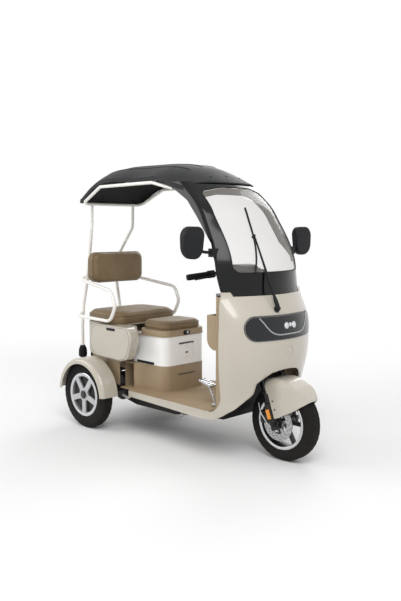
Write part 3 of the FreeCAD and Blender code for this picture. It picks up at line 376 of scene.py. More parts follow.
FINISHES = [
    Finish("frame_black", "151617", "1D1E1F", 0.42, grain=Grain.MOULDED, relief=0.05, dust=0.12,
           specular=0.22),
    Finish("battery_grey", "434447", "4E4F52", 0.6, grain=Grain.MOULDED, relief=0.08),
    Finish("black_plastic", "17181A", "202123", 0.5, grain=Grain.MOULDED, grain_scale=900,
           relief=0.12, dust=0.08, specular=0.2),
    Finish("floor_mat", "A08B6D", "947F62", 0.78, grain=Grain.MOULDED, grain_scale=700,
           relief=0.25, dust=0.12),
    Finish("shell_cream", "BEB7AA", "B7AFA1", 0.3, coat=0.7, relief=0.012, spread=0.06,
           drift_scale=3.0, dust=0.08),
    Finish("tan_plastic", "A18D71", "978267", 0.5, grain=Grain.MOULDED, grain_scale=1000,
           relief=0.14, dust=0.08),
    Finish("lamp_glass", "0F1215", "0B0D10", 0.1, coat=0.35, relief=0.0, dust=0.0, specular=0.3),
    Finish("black_gloss", "08090A", "0C0D0E", 0.16, coat=0.22, coat_roughness=0.08, relief=0.006,
           spread=0.05, dust=0.0, specular=0.2),
    Finish("clear_screen", "B4AFA8", "ABA69F", 0.03, relief=0.0, spread=0.0, dust=0.0, alpha=0.13,
           specular=0.35),
    Finish("roof_dark", "1B1C1E", "151618", 0.55, grain=Grain.MOULDED, grain_scale=650,
           relief=0.2, drift_scale=4.0, dust=0.0, specular=0.25),
    Finish("tube_cream", "F0EEE8", "E8E5DE", 0.26, coat=0.7, relief=0.01, spread=0.06, dust=0.05),
    Finish("seat_leather", "7E6B4F", "6E5B3F", 0.46, grain=Grain.PEBBLED, grain_scale=520,
           relief=0.35, drift=0.8, dust=0.0, specular=0.35),
    Finish("piping", "6E5B3F", "5E4C33", 0.5, grain=Grain.PEBBLED, grain_scale=900, relief=0.2,
           dust=0.0),
    Finish("box_white", "F6F6F4", "EFEFEC", 0.3, coat=0.4, relief=0.012, spread=0.06, dust=0.04),
    Finish("spring_steel", "17181A", "111214", 0.32, metallic=0.2, relief=0.02, specular=0.3),
    Finish("bright_steel", "B9BABC", "A3A4A6", 0.28, metallic=1.0, grain=Grain.BRUSHED,
           relief=0.05, dust=0.1),
    Finish("lip_bright", "D2D3D5", "C2C3C5", 0.2, metallic=0.9, coat=0.5, relief=0.01, dust=0.05),
    Finish("fork_black", "0B0C0D", "111213", 0.22, coat=0.25, relief=0.01, dust=0.04,
           specular=0.25),
    Finish("amber", "F59A00", "EC8A00", 0.16, coat=1.0, relief=0.0, spread=0.04, dust=0.0),
    Finish("red_lens", "A3141A", "8C1016", 0.14, coat=1.0, relief=0.0, spread=0.04, dust=0.0),
    Finish("grip_rubber", "101011", "161617", 0.7, grain=Grain.MOULDED, grain_scale=800,
           relief=0.2, dust=0.04, specular=0.2),
    Finish("tyre_rubber", "0F0F10", "151515", 0.82, grain=Grain.MOULDED, grain_scale=600,
           relief=0.2, dust=0.08, specular=0.2),
    Finish("rim_black", "101113", "17181A", 0.3, coat=0.3, relief=0.02, dust=0.08, specular=0.3),
    Finish("rim_silver", "C2C3C5", "B4B5B7", 0.36, metallic=0.6, coat=0.4, relief=0.03, dust=0.08),
    Finish("lamp_trim", "4A4C50", "424448", 0.22, coat=0.5, relief=0.0, dust=0.0),
    Finish("light_strip", "9EA2A6", "92969A", 0.3, coat=0.5, relief=0.0, dust=0.0),
    Finish("lens_clear", "D6DADD", "C6CACD", 0.12, metallic=0.2, coat=0.8, relief=0.0, dust=0.0),
    Finish("mirror_face", "C9CDD1", "C1C5C9", 0.04, metallic=1.0, relief=0.0, dust=0.0),
    Finish("seam_shadow", "5D574F", "554F48", 0.7, relief=0.0, dust=0.0),
    Finish("gauge_light", "6FA8B8", "6299A9", 0.3, relief=0.0, dust=0.0, glow=0.3),
]

# Record slot that each finish of the scene's own stands for
KIN = {
    "piping": "seat_leather",
    "lip_bright": "bright_steel",
    "red_lens": "amber",
    "lamp_trim": "black_gloss",
    "light_strip": "box_white",
    "lens_clear": "lamp_glass",
    "mirror_face": "bright_steel",
    "seam_shadow": "black_plastic",
    "gauge_light": "lamp_glass",
}

# Material slot of each CAD node that keeps its own mesh
NODE_SLOTS = {
    "frame_black": ["chassis_frame", "rear_axle", "trailing_arms", "plate_bracket", "handlebar",
                    "brake_caliper"],
    "battery_grey": ["battery_pack"],
    "black_plastic": ["under_tray", "wheel_arch", "dash_panel", "wiper", "rear_lamps",
                      "mirror_right", "mirror_left", "controls", "instrument", "lid_lock"],
    "floor_mat": ["floor_pan"],
    "shell_cream": ["front_shell", "rear_seat_box", "side_box_right", "side_box_left",
                    "rear_fender_right", "rear_fender_left", "front_fender"],
    "tan_plastic": ["inner_shield", "seat_box_base", "rear_body", "seat_lid"],
    "lamp_glass": ["headlamp_band"],
    "black_gloss": ["windscreen_frame"],
    "clear_screen": ["windscreen_glass"],
    "roof_dark": ["roof_cap"],
    "tube_cream": ["canopy_frame", "rear_frame", "armrest_right", "armrest_left"],
    "seat_leather": ["backrest", "rear_cushion", "driver_cushion"],
    "box_white": ["seat_box", "box_door"],
    "spring_steel": ["rear_shocks"],
    "bright_steel": ["brake_pedal", "brake_disc"],
    "fork_black": ["fork"],
    "amber": ["fork_reflectors"],
    "grip_rubber": ["grips"],
    "tyre_rubber": ["front_tyre", "rear_tyre_right", "rear_tyre_left"],
    "rim_black": ["front_rim"],
    "rim_silver": ["rear_rim_right", "rear_rim_left"],
}


class Paint:
    """Every finish by its slot name."""

    def __init__(self) -> None:
        """Build all the materials."""
        effects = Effects()
        self.made = {finish.slot: finish.build(effects) for finish in FINISHES}

    def __getitem__(self, slot: str) -> Material:
        """Give the material of a slot."""
        return self.made[slot]


def smooth_tree(angle: float) -> bpy.types.NodeTree:
    """Geometry nodes that weld a CAD mesh and shade it smooth up to an angle.

    Args:
        angle: Largest angle between faces that is shaded smooth, in degrees.

    Returns:
        The node tree.
    """
    tree = bpy.data.node_groups.new("smooth_by_angle", "GeometryNodeTree")
    tree.interface.new_socket("Geometry", in_out="INPUT", socket_type="NodeSocketGeometry")
    tree.interface.new_socket("Geometry", in_out="OUTPUT", socket_type="NodeSocketGeometry")
    graph = Graph(tree)
    inlet, outlet = graph.add("NodeGroupInput"), graph.add("NodeGroupOutput")
    weld = graph.add("GeometryNodeMergeByDistance")
    weld.inputs["Distance"].default_value = 1e-6
    faces = graph.add("GeometryNodeSetShadeSmooth", domain="FACE")
    edges = graph.add("GeometryNodeSetShadeSmooth", domain="EDGE")
    bend = graph.add("GeometryNodeInputMeshEdgeAngle")
    test = graph.add("FunctionNodeCompare", data_type="FLOAT", operation="LESS_THAN")
    test.inputs[1].default_value = math.radians(angle)
    graph.join(inlet.outputs[0], weld.inputs[0])
    graph.join(weld.outputs[0], faces.inputs[0])
    graph.join(faces.outputs[0], edges.inputs[0])
    graph.join(bend.outputs["Unsigned Angle"], test.inputs[0])
    graph.join(test.outputs[0], edges.inputs["Shade Smooth"])
    graph.join(edges.outputs[0], outlet.inputs[0])
    return tree


class CadPieces:
    """The CAD nodes that stay in view, with their finishes."""

    def __init__(self, nodes: dict[str, Thing], paint: Paint) -> None:
        """Keep the nodes and the materials."""
        self.nodes = nodes
        self.paint = paint

    def dress(self) -> None:
        """Give every node its material and smooth shading."""
        tree = smooth_tree(28.0)
        for slot, names in NODE_SLOTS.items():
            for name in names:
                node = self.nodes[name]
                for holder in node.material_slots:
                    holder.material = self.paint[slot]
                if not node.material_slots:
                    node.data.materials.append(self.paint[slot])
                node.modifiers.new("smooth", "NODES").node_group = tree
                LOG.info("dressed %s with %s", name, slot)


# Mesh building

@dataclass
class Form:
    """Points in millimetres from the front axle, and the faces that join them."""

    points: Array
    faces: list[tuple[int, ...]]

    def mirrored(self) -> "Form":
        """The same form on the other side of the vehicle."""
        return Form(self.points * (1.0, -1.0, 1.0), self.faces)


def merged(forms: Iterable[Form]) -> Form:
    """Several forms as one."""
    points, faces, base = [], [], 0
    for form in forms:
        points.append(form.points)
        faces += [tuple(i + base for i in face) for face in form.faces]
        base += len(form.points)
    return Form(np.vstack(points), faces)


def both(forms: Iterable[Form]) -> Form:
    """Several forms and their mirror images as one."""
    forms = list(forms)
    return merged(forms + [form.mirrored() for form in forms])


def grid(points: Array, wrap_rows: bool = False, wrap_columns: bool = False) -> Form:
    """Quads between the rows and columns of a grid of points.

    Args:
        points: Array of rows, columns and X, Y, Z.
        wrap_rows: Whether the last row joins the first.
        wrap_columns: Whether the last column joins the first.

    Returns:
        The surface.
    """
    rows, columns = points.shape[:2]
    index = np.arange(rows * columns).reshape(rows, columns)
    if wrap_rows:
        index = np.vstack((index, index[:1]))
    if wrap_columns:
        index = np.hstack((index, index[:, :1]))
    corners = (index[:-1, :-1], index[:-1, 1:], index[1:, 1:], index[1:, :-1])
    quads = np.stack([part.ravel() for part in corners], axis=1)
    return Form(points.reshape(-1, 3), [tuple(quad) for quad in quads.tolist()])


def capped(points: Array) -> Form:
    """A grid whose columns close on themselves, with a flat cap on its first and last rows."""
    form = grid(points, wrap_columns=True)
    rows, columns = points.shape[:2]
    first = tuple(range(columns))
    last = tuple(range((rows - 1) * columns, rows * columns))
    return Form(form.points, form.faces + [first[::-1], last])


def rounded(corners: Sequence[tuple[float, float, float]], steps: int = 6) -> Array:
    """Closed outline whose corners are tangent arcs.

    At each corner the arc leaves the sides radius / tan(half angle) from the corner, and
    its points are spaced evenly by angle.

    Args:
        corners: Two coordinates and a radius for each corner.
        steps: Pieces that each arc is cut into.

    Returns:
        Array of points.
    """
    out = []
    count = len(corners)
    for i, (a, b, radius) in enumerate(corners):
        spot = np.array((a, b))
        before = np.array(corners[i - 1][:2]) - spot
        after = np.array(corners[(i + 1) % count][:2]) - spot
        before, after = before / np.linalg.norm(before), after / np.linalg.norm(after)
        half = math.acos(float(np.clip(before @ after, -1, 1))) / 2
        middle = (before + after) / np.linalg.norm(before + after)
        centre = spot + middle * radius / math.sin(half)
        start = spot + before * radius / math.tan(half) - centre
        turn = math.pi - 2 * half
        sign = 1.0 if before[0] * after[1] - before[1] * after[0] < 0 else -1.0
        for angle in np.linspace(0, turn * sign, steps + 1):
            cos, sin = math.cos(angle), math.sin(angle)
            out.append(centre + (start[0] * cos - start[1] * sin, start[0] * sin + start[1] * cos))
    return np.array(out)


def rectangle(a0: float, a1: float, b0: float, b1: float, radius: float, steps: int = 4) -> Array:
    """Rounded rectangle from a0 to a1 and from b0 to b1."""
    return rounded([(a0, b0, radius), (a1, b0, radius), (a1, b1, radius), (a0, b1, radius)], steps)


def on_plane(axis: int, level: float, way: float = 1.0) -> Callable[[Array, float], Array]:
    """Frame that lays pairs in a plane square to one axis.

    Args:
        axis: 0, 1 or 2 for X, Y or Z.
        level: Place of the plane along the axis.
        way: 1 or -1, the way in which heights count.

    Returns:
        Function of pairs and a height that gives points.
    """
    def frame(pairs: Array, height: float) -> Array:
        return np.insert(pairs, axis, level + way * height, axis=1)

    return frame


def sweep(path: Array, radius: float | Array, sides: int = 12, closed: bool = False) -> Form:
    """Round bar along a path of points.

    Each ring lies in the plane square to the path there. Its first direction is carried
    from ring to ring with the least turn, so that the bar doesn't twist.

    Args:
        path: Array of points.
        radius: One radius, or one for each point.
        sides: Points round each ring.
        closed: Whether the path's end joins its start.

    Returns:
        The bar, with flat ends unless it is closed.
    """
    path = np.asarray(path, float)
    if closed:
        along = np.roll(path, -1, 0) - np.roll(path, 1, 0)
    else:
        along = np.gradient(path, axis=0)
    along /= np.linalg.norm(along, axis=1)[:, None]
    side = np.cross(along[0], (0.0, 0.0, 1.0))
    if np.linalg.norm(side) < 0.1:
        side = np.cross(along[0], (1.0, 0.0, 0.0))
    sides_out = []
    for step in along:
        side = side - step * (side @ step)
        side = side / np.linalg.norm(side)
        sides_out.append(side)
    side = np.array(sides_out)
    other = np.cross(along, side)
    angle = np.linspace(0, 2 * math.pi, sides, endpoint=False)
    reach = np.broadcast_to(np.asarray(radius, float), (len(path),))[:, None, None]
    ring = side[:, None] * np.cos(angle)[None, :, None] + other[:, None] * np.sin(angle)[None, :, None]
    points = path[:, None] + reach * ring
    return grid(points, True, True) if closed else capped(points)


def lathe(profile: Array, centre: Sequence[float], axis: Sequence[float], steps: int = 48,
          closed: bool = True) -> Form:
    """Profile of (along, radius) pairs turned about an axis.

    Args:
        profile: Array of distances along the axis and radii.
        centre: Point where along is nought.
        axis: Direction of the axis.
        steps: Points round the axis.
        closed: Whether the profile's end joins its start, otherwise both ends are capped.

    Returns:
        The turned form.
    """
    axis = np.asarray(axis, float) / np.linalg.norm(axis)
    first = np.cross(axis, (0.0, 0.0, 1.0) if abs(axis[2]) < 0.9 else (1.0, 0.0, 0.0))
    first /= np.linalg.norm(first)
    second = np.cross(axis, first)
    angle = np.linspace(0, 2 * math.pi, steps, endpoint=False)
    ring = first * np.cos(angle)[:, None] + second * np.sin(angle)[:, None]
    profile = np.asarray(profile, float)
    points = (np.asarray(centre, float) + profile[:, :1, None].reshape(-1, 1, 1) * axis
              + profile[:, 1].reshape(-1, 1, 1) * ring[None])
    return grid(points, True, True) if closed else capped(points)


def dome(centre: Sequence[float], axis: Sequence[float], radius: float, height: float,
         steps: int = 16) -> Form:
    """Low round head: radius r and height h, its side a quarter ellipse."""
    angle = np.linspace(0, math.pi / 2, 6)[:-1]
    profile = np.stack((height * np.sin(angle), radius * np.cos(angle)), 1)
    return lathe(np.vstack(((-0.6, radius), profile)), centre, axis, steps, closed=False)


def bolt(centre: Sequence[float], axis: Sequence[float], radius: float) -> Form:
    """Six-sided bolt head on a washer."""
    washer = lathe(np.array(((-0.5, radius * 1.5), (0.9, radius * 1.5), (1.1, radius * 1.4))),
                   centre, axis, 20, closed=False)
    head = lathe(np.array(((0.5, radius), (radius * 0.8, radius), (radius, radius * 0.82))),
                 centre, axis, 6, closed=False)
    return merged((washer, head))


def slab(outline: Array, frame: Callable[[Array, float], Array], depth: float,
         edge: float, steps: int = 4) -> Form:
    """Flat-backed plate with a rounded front edge.

    The outline is drawn in by edge * (1 - cos t) as it rises by depth - edge + edge * sin t
    for t from nought to a right angle.

    Args:
        outline: Closed plane outline, as pairs.
        frame: Turns pairs and a height into points.
        depth: Height of the plate.
        edge: Radius of its front edge.
        steps: Pieces that the edge is cut into.

    Returns:
        The closed plate.
    """
    centre = outline.mean(0)
    reach = np.linalg.norm(outline - centre, axis=1).mean()
    rows = [frame(outline, 0.0)]
    for t in np.linspace(0, math.pi / 2, steps + 1):
        share = 1 - edge * (1 - math.cos(t)) / reach
        rows.append(frame(centre + (outline - centre) * share, depth - edge + edge * math.sin(t)))
    return capped(np.array(rows))


def resample(path: Array, count: int, closed: bool = True) -> Array:
    """Evenly spaced points along a path of straight runs."""
    path = np.asarray(path, float)
    if closed:
        path = np.vstack((path, path[:1]))
    length = np.concatenate(((0.0,), np.cumsum(np.linalg.norm(np.diff(path, axis=0), axis=1))))
    at = np.linspace(0, length[-1], count, endpoint=not closed)
    return np.stack([np.interp(at, length, path[:, i]) for i in range(path.shape[1])], axis=1)


def tapered_ends(count: int, run: float, least: float) -> Array:
    """Shares that rise evenly from least to one over the first and last run of the points."""
    place_in_row = np.arange(count)
    return np.clip(np.minimum(place_in_row, place_in_row[::-1]) / run, least, 1.0)


def bend_line(points: Sequence[Sequence[float]], radius: float) -> Array:
    """Open path whose inner corners are quadratic bends that start radius from each corner."""
    points = [np.array(p, float) for p in points]
    out = [points[0]]
    for before, spot, after in zip(points, points[1:], points[2:]):
        back, front = before - spot, after - spot
        reach = min(radius, np.linalg.norm(back) * 0.48, np.linalg.norm(front) * 0.48)
        first = spot + back / np.linalg.norm(back) * reach
        last = spot + front / np.linalg.norm(front) * reach
        for t in np.linspace(0, 1, 8):
            out.append(first * (1 - t) ** 2 + spot * 2 * t * (1 - t) + last * t * t)
    return np.array(out + [points[-1]])


class Maker:
    """Turns forms into finished objects that ride on the CAD bodies."""

    def __init__(self, paint: Paint) -> None:
        """Keep the materials."""
        self.paint = paint

    def make(self, name: str, form: Form, body: Body, finish: str, angle: float = 32.0) -> Thing:
        """Build one object.

        Args:
            name: The piece's name.
            form: Its shape.
            body: The body it rides on.
            finish: The finish it wears.
            angle: Largest angle between faces that is shaded smooth, in degrees.

        Returns:
            The finished object.
        """
        mesh = bpy.data.meshes.new(name)
        mesh.from_pydata(place(form.points).tolist(), [], form.faces)
        tidy = bmesh.new()
        tidy.from_mesh(mesh)
        bmesh.ops.remove_doubles(tidy, verts=tidy.verts, dist=2e-5)
        bmesh.ops.recalc_face_normals(tidy, faces=tidy.faces)
        tidy.to_mesh(mesh)
        tidy.free()
        mesh.shade_smooth()
        mesh.set_sharp_from_angle(angle=math.radians(angle))
        mesh.materials.append(self.paint[finish])
        thing = bpy.data.objects.new(name, mesh)
        bpy.context.scene.collection.objects.link(thing)
        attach(thing, body.value)
        KIN.get(finish, finish)
        LOG.info("made %s, %d faces", name, len(mesh.polygons))
        return thing


class Skin:
    """Ray tests against CAD nodes, in millimetres from the front axle."""

    def __init__(self, *nodes: Thing) -> None:
        """Build the search tree."""
        points, faces, base = [], [], 0
        for node in nodes:
            flat = np.empty(len(node.data.vertices) * 3, np.float32)
            node.data.vertices.foreach_get("co", flat)
            points.append(flat.reshape(-1, 3))
            faces += [[i + base for i in face.vertices] for face in node.data.polygons]
            base += len(node.data.vertices)
        self.tree = BVHTree.FromPolygons(np.vstack(points).tolist(), faces)

    def hit(self, start: Sequence[float], way: Sequence[float]) -> tuple[Array, Array]:
        """First point met from start along way, and the outward normal there."""
        spot, normal, _, _ = self.tree.ray_cast(Vector(place(start)), Vector(way))
        if spot is None:
            raise ValueError(f"no surface from {start} along {way}")
        outward = np.array(normal)
        if outward @ np.array(way) > 0:
            outward = -outward
        return np.array(spot) / METRE - (ORIGIN_BACK, 0.0, 0.0), outward

    def ahead(self, y: float, z: float) -> tuple[Array, Array]:
        """Point of the front face at y and z, seen from the front."""
        return self.hit((700.0, y, z), (-1.0, 0.0, 0.0))

    def above(self, x: float, y: float) -> tuple[Array, Array]:
        """Point of the top face at x and y, seen from above."""
        return self.hit((x, y, 1900.0), (0.0, 0.0, -1.0))

    def line(self, pairs: Iterable[Sequence[float]], lift: float) -> Array:
        """Points of the front face under pairs of y and z, lifted off it."""
        out = []
        for y, z in pairs:
            spot, normal = self.ahead(y, z)
            out.append(spot + normal * lift)
        return np.array(out)


# Pieces

class Pieces:
    """Base of the sub-assemblies."""

    def __init__(self, maker: Maker, nodes: dict[str, Thing]) -> None:
        """Keep the maker and the CAD nodes."""
        self.maker = maker
        self.nodes = nodes

    def build(self) -> None:
        """Make the sub-assembly's objects."""
        raise NotImplementedError


@dataclass(frozen=True)
class WheelSize:
    """Measures of one wheel, in millimetres."""

    name: str
    node: str
    body: Body
    x: float
    y: float
    width: float
    rim: float


WHEELS = (
    WheelSize("front", "front_tyre", Body.FRONT_WHEEL, 0.0, 0.0, 90.0, 146.0),
    WheelSize("rear_right", "rear_tyre_right", Body.REAR_RIGHT, -1291.0, -339.0, 80.0, 134.0),
    WheelSize("rear_left", "rear_tyre_left", Body.REAR_LEFT, -1291.0, 339.0, 80.0, 134.0),
)
TYRE_RADIUS = 210.0
AXLE_WAY = (0.0, 1.0, 0.0)


class Tyres(Pieces):
    """Road tyres with tread, side ribs and bead."""

    steps = 360
    crown_arc = 0.93 * math.pi / 2
    crown_drop = 17.0
    tread_height = 13.0
    groove_depth = 3.4
    groove_place = 0.3
    groove_half = 0.035
    groove_wave = 0.05
    sipe_pitch = 10.0
    sipe_width = 2.1
    sipe_start = 0.42

    def profile(self, size: WheelSize) -> Array:
        """Outer profile from bead to bead as (y, r), by straight and curved runs."""
        half = size.width / 2
        rim = size.rim
        right = [(-half + 7, rim - 3), (-half + 5, rim + 2), (-half + 1.5, rim + 6),
                 (-half + 0.9, rim + 12), (-half + 1.7, rim + 13), (-half + 0.7, rim + 17),
                 (-half, rim + 24), (-half - 0.2, rim + 30), (-half + 0.8, rim + 38),
                 (-half + 2.6, rim + 44)]
        t = np.linspace(-1, 1, 31)
        crown = np.stack(((half - 5.0) * np.sin(t * self.crown_arc),
                          TYRE_RADIUS - 0.3 - self.crown_drop * np.abs(t) ** 3), axis=1)
        left = [(-y, r) for y, r in reversed(right)]
        return np.vstack((right, crown, left))

    def build(self) -> None:
        """Make the three tyres.

        The tread is cut by lowering r by the groove's depth where the position falls in a
        groove: two grooves run round at y / half = +-0.3 with a wave of the angle, and
        slanted sipes cross the shoulders at every ten degrees.
        """
        for size in WHEELS:
            profile = self.profile(size)
            angle = np.linspace(0, 2 * math.pi, self.steps, endpoint=False)
            y = profile[:, :1] + np.zeros((1, self.steps))
            r = profile[:, 1:] + np.zeros((1, self.steps))
            share = profile[:, :1] / (size.width / 2)
            turn = np.degrees(angle)[None, :]
            wave = self.groove_wave * np.sin(np.radians(turn * 36))
            tread = (profile[:, 1:] > TYRE_RADIUS - self.tread_height) & (np.abs(share) < 0.97)
            around = np.abs(np.abs(share) - self.groove_place - wave) < self.groove_half
            lean = turn + 5.0 * np.sign(share) + np.abs(share) * 14.0
            sipes = (lean % self.sipe_pitch < self.sipe_width) & (np.abs(share) > self.sipe_start)
            r = r - self.groove_depth * (tread & (around | sipes))
            points = np.stack((size.x + r * np.cos(angle), y + size.y,
                               TYRE_RADIUS + r * np.sin(angle)), axis=2)
            form = grid(points, wrap_columns=True)
            index = len(form.points) - self.steps
            bridge = [(i, (i + 1) % self.steps, index + (i + 1) % self.steps, index + i)
                      for i in range(self.steps)]
            tyre = self.maker.make("tyre_" + size.name, Form(form.points, form.faces + bridge),
                                   size.body, "tyre_rubber", 40.0)
            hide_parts(size.node)


class Rims(Pieces):
    """Bright lips, hub caps, nuts, brake drums, the brake disc's bolts, and painted shade for its
    drilled holes.
    """

    hub_face = 38.0
    nut_circle = 30.5
    disc_y = -63.0
    disc_bolt_circle = 44.0
    # radius of each row of holes, and the degrees that it is turned by
    hole_rows = ((70.0, 0.0), (79.0, 8.0), (87.5, 16.0))
    holes_in_row = 15

    def build(self) -> None:
        """Make the trim of the three wheels."""
        for size in WHEELS:
            half = size.width / 2
            lips = []
            for side in (-1.0, 1.0):
                profile = np.array(((half - 9.0, size.rim - 13.5), (half - 3.8, size.rim - 12.5),
                                    (half - 1.6, size.rim - 6.0), (half - 1.8, size.rim + 0.5),
                                    (half - 3.4, size.rim + 2.6), (half - 6.5, size.rim - 0.6)))
                profile[:, 0] *= side
                lips.append(lathe(profile, (size.x, size.y, TYRE_RADIUS), AXLE_WAY, 96))
            self.maker.make("rim_lip_" + size.name, merged(lips), size.body, "lip_bright")
        self.rear_caps()
        self.front_disc()

    def rear_caps(self) -> None:
        """Hub caps and wheel nuts on the outer side of the rear wheels, and their drums."""
        for size in WHEELS[1:]:
            out = -1.0 if size.y < 0 else 1.0
            face = size.y + out * self.hub_face
            centre = (size.x, face, TYRE_RADIUS)
            cap = lathe(np.array(((-1, 26), (2.5, 26), (5.5, 22), (6.5, 12), (6.7, 0.5))), centre,
                        (0, out, 0), 40, closed=False)
            nuts = []
            for angle in np.radians(np.arange(5) * 72 + 54):
                spot = (size.x + self.nut_circle * math.cos(angle), face - out * 0.2,
                        TYRE_RADIUS + self.nut_circle * math.sin(angle))
                nuts.append(dome(spot, (0, out, 0), 2.6, 1.8))
            drum = lathe(np.array(((-58, 60), (-60, 96), (-56, 112), (-24, 114), (-20, 108),
                                   (-20, 36), (-26, 34), (-50, 34))), centre, (0, out, 0), 72)
            self.maker.make("hub_cap_" + size.name, cap, size.body, "rim_black")
            self.maker.make("brake_drum_" + size.name, drum, size.body, "spring_steel")
            self.maker.make("wheel_nuts_" + size.name, merged(nuts), size.body, "bright_steel")

    def front_disc(self) -> None:
        """Painted shade for the drilled holes round the brake disc, as thin dark discs on its face,
        and the disc's bolts.
        """
        holes, bolts = [], []
        hole = np.array(((-0.15, 3.1), (0.3, 3.1)))
        for radius, shift in self.hole_rows:
            for i in range(self.holes_in_row):
                spot = self.on_disc(radius, 360 / self.holes_in_row * i + shift)
                holes.append(lathe(hole, spot, (0, -1, 0), 12, closed=False))
        for i in range(5):
            bolts.append(bolt(self.on_disc(self.disc_bolt_circle, 72 * i + 54), (0, -1, 0), 4.2))
        # The holes are not cut: each is a thin disc in the black plastic finish, painted shade of a
        # hole.
        self.maker.make("disc_hole_shade", merged(holes), Body.FRONT_WHEEL, "black_plastic")
        self.maker.make("disc_bolts", merged(bolts), Body.FRONT_WHEEL, "bright_steel")

    def on_disc(self, radius: float, degrees: float) -> tuple[float, float, float]:
        """Point on the brake disc's outer face, by radius and angle."""
        angle = math.radians(degrees)
        return (radius * math.cos(angle), self.disc_y, TYRE_RADIUS + radius * math.sin(angle))


class Lamps(Pieces):
    """Headlamp band: trim, running light, lenses; and the shell's plain round indent."""

    def build(self) -> None:
        """Make the lamp's pieces on the shell's surface."""
        skin = Skin(self.nodes["headlamp_band"], self.nodes["front_shell"])
        edge = rectangle(-274, 274, 664, 790, 61, 14)
        dense = resample(edge, 260)
        ring = skin.line(dense, 0.6)
        self.maker.make("lamp_trim", sweep(ring, 3.2, 10, closed=True), Body.CHASSIS, "lamp_trim")
        light = [(-196, 782), (-150, 718), (-118, 697), (-84, 690), (84, 690), (118, 697),
                 (150, 718), (196, 782)]
        smile = skin.line(resample(bend_line(light, 34.0), 110, closed=False), 1.2)
        self.maker.make("running_light", sweep(smile, 3.6, 10), Body.CHASSIS, "light_strip")
        lenses, rings = [], []
        for y, z, radius in ((-31, 735, 15.0), (31, 735, 15.0), (0, 738, 9.0)):
            spot, normal = skin.ahead(y, z)
            lenses.append(dome(spot + normal * 0.6, normal, radius, radius * 0.4, 28))
            rings.append(lathe(np.array(((0.0, radius + 3), (2.4, radius + 2.4), (2.4, radius),
                                         (0.0, radius))), spot, normal, 32))
        self.maker.make("lamp_lenses", merged(lenses), Body.CHASSIS, "lens_clear")
        self.maker.make("lamp_rings", merged(rings), Body.CHASSIS, "lip_bright")
        spot, normal = skin.ahead(0, 596)
        mark = lathe(np.array(((0.0, 31), (1.4, 30), (1.2, 27), (0.1, 25.5))), spot, normal, 48)
        self.maker.make("shell_round_mark", mark, Body.CHASSIS, "shell_cream")


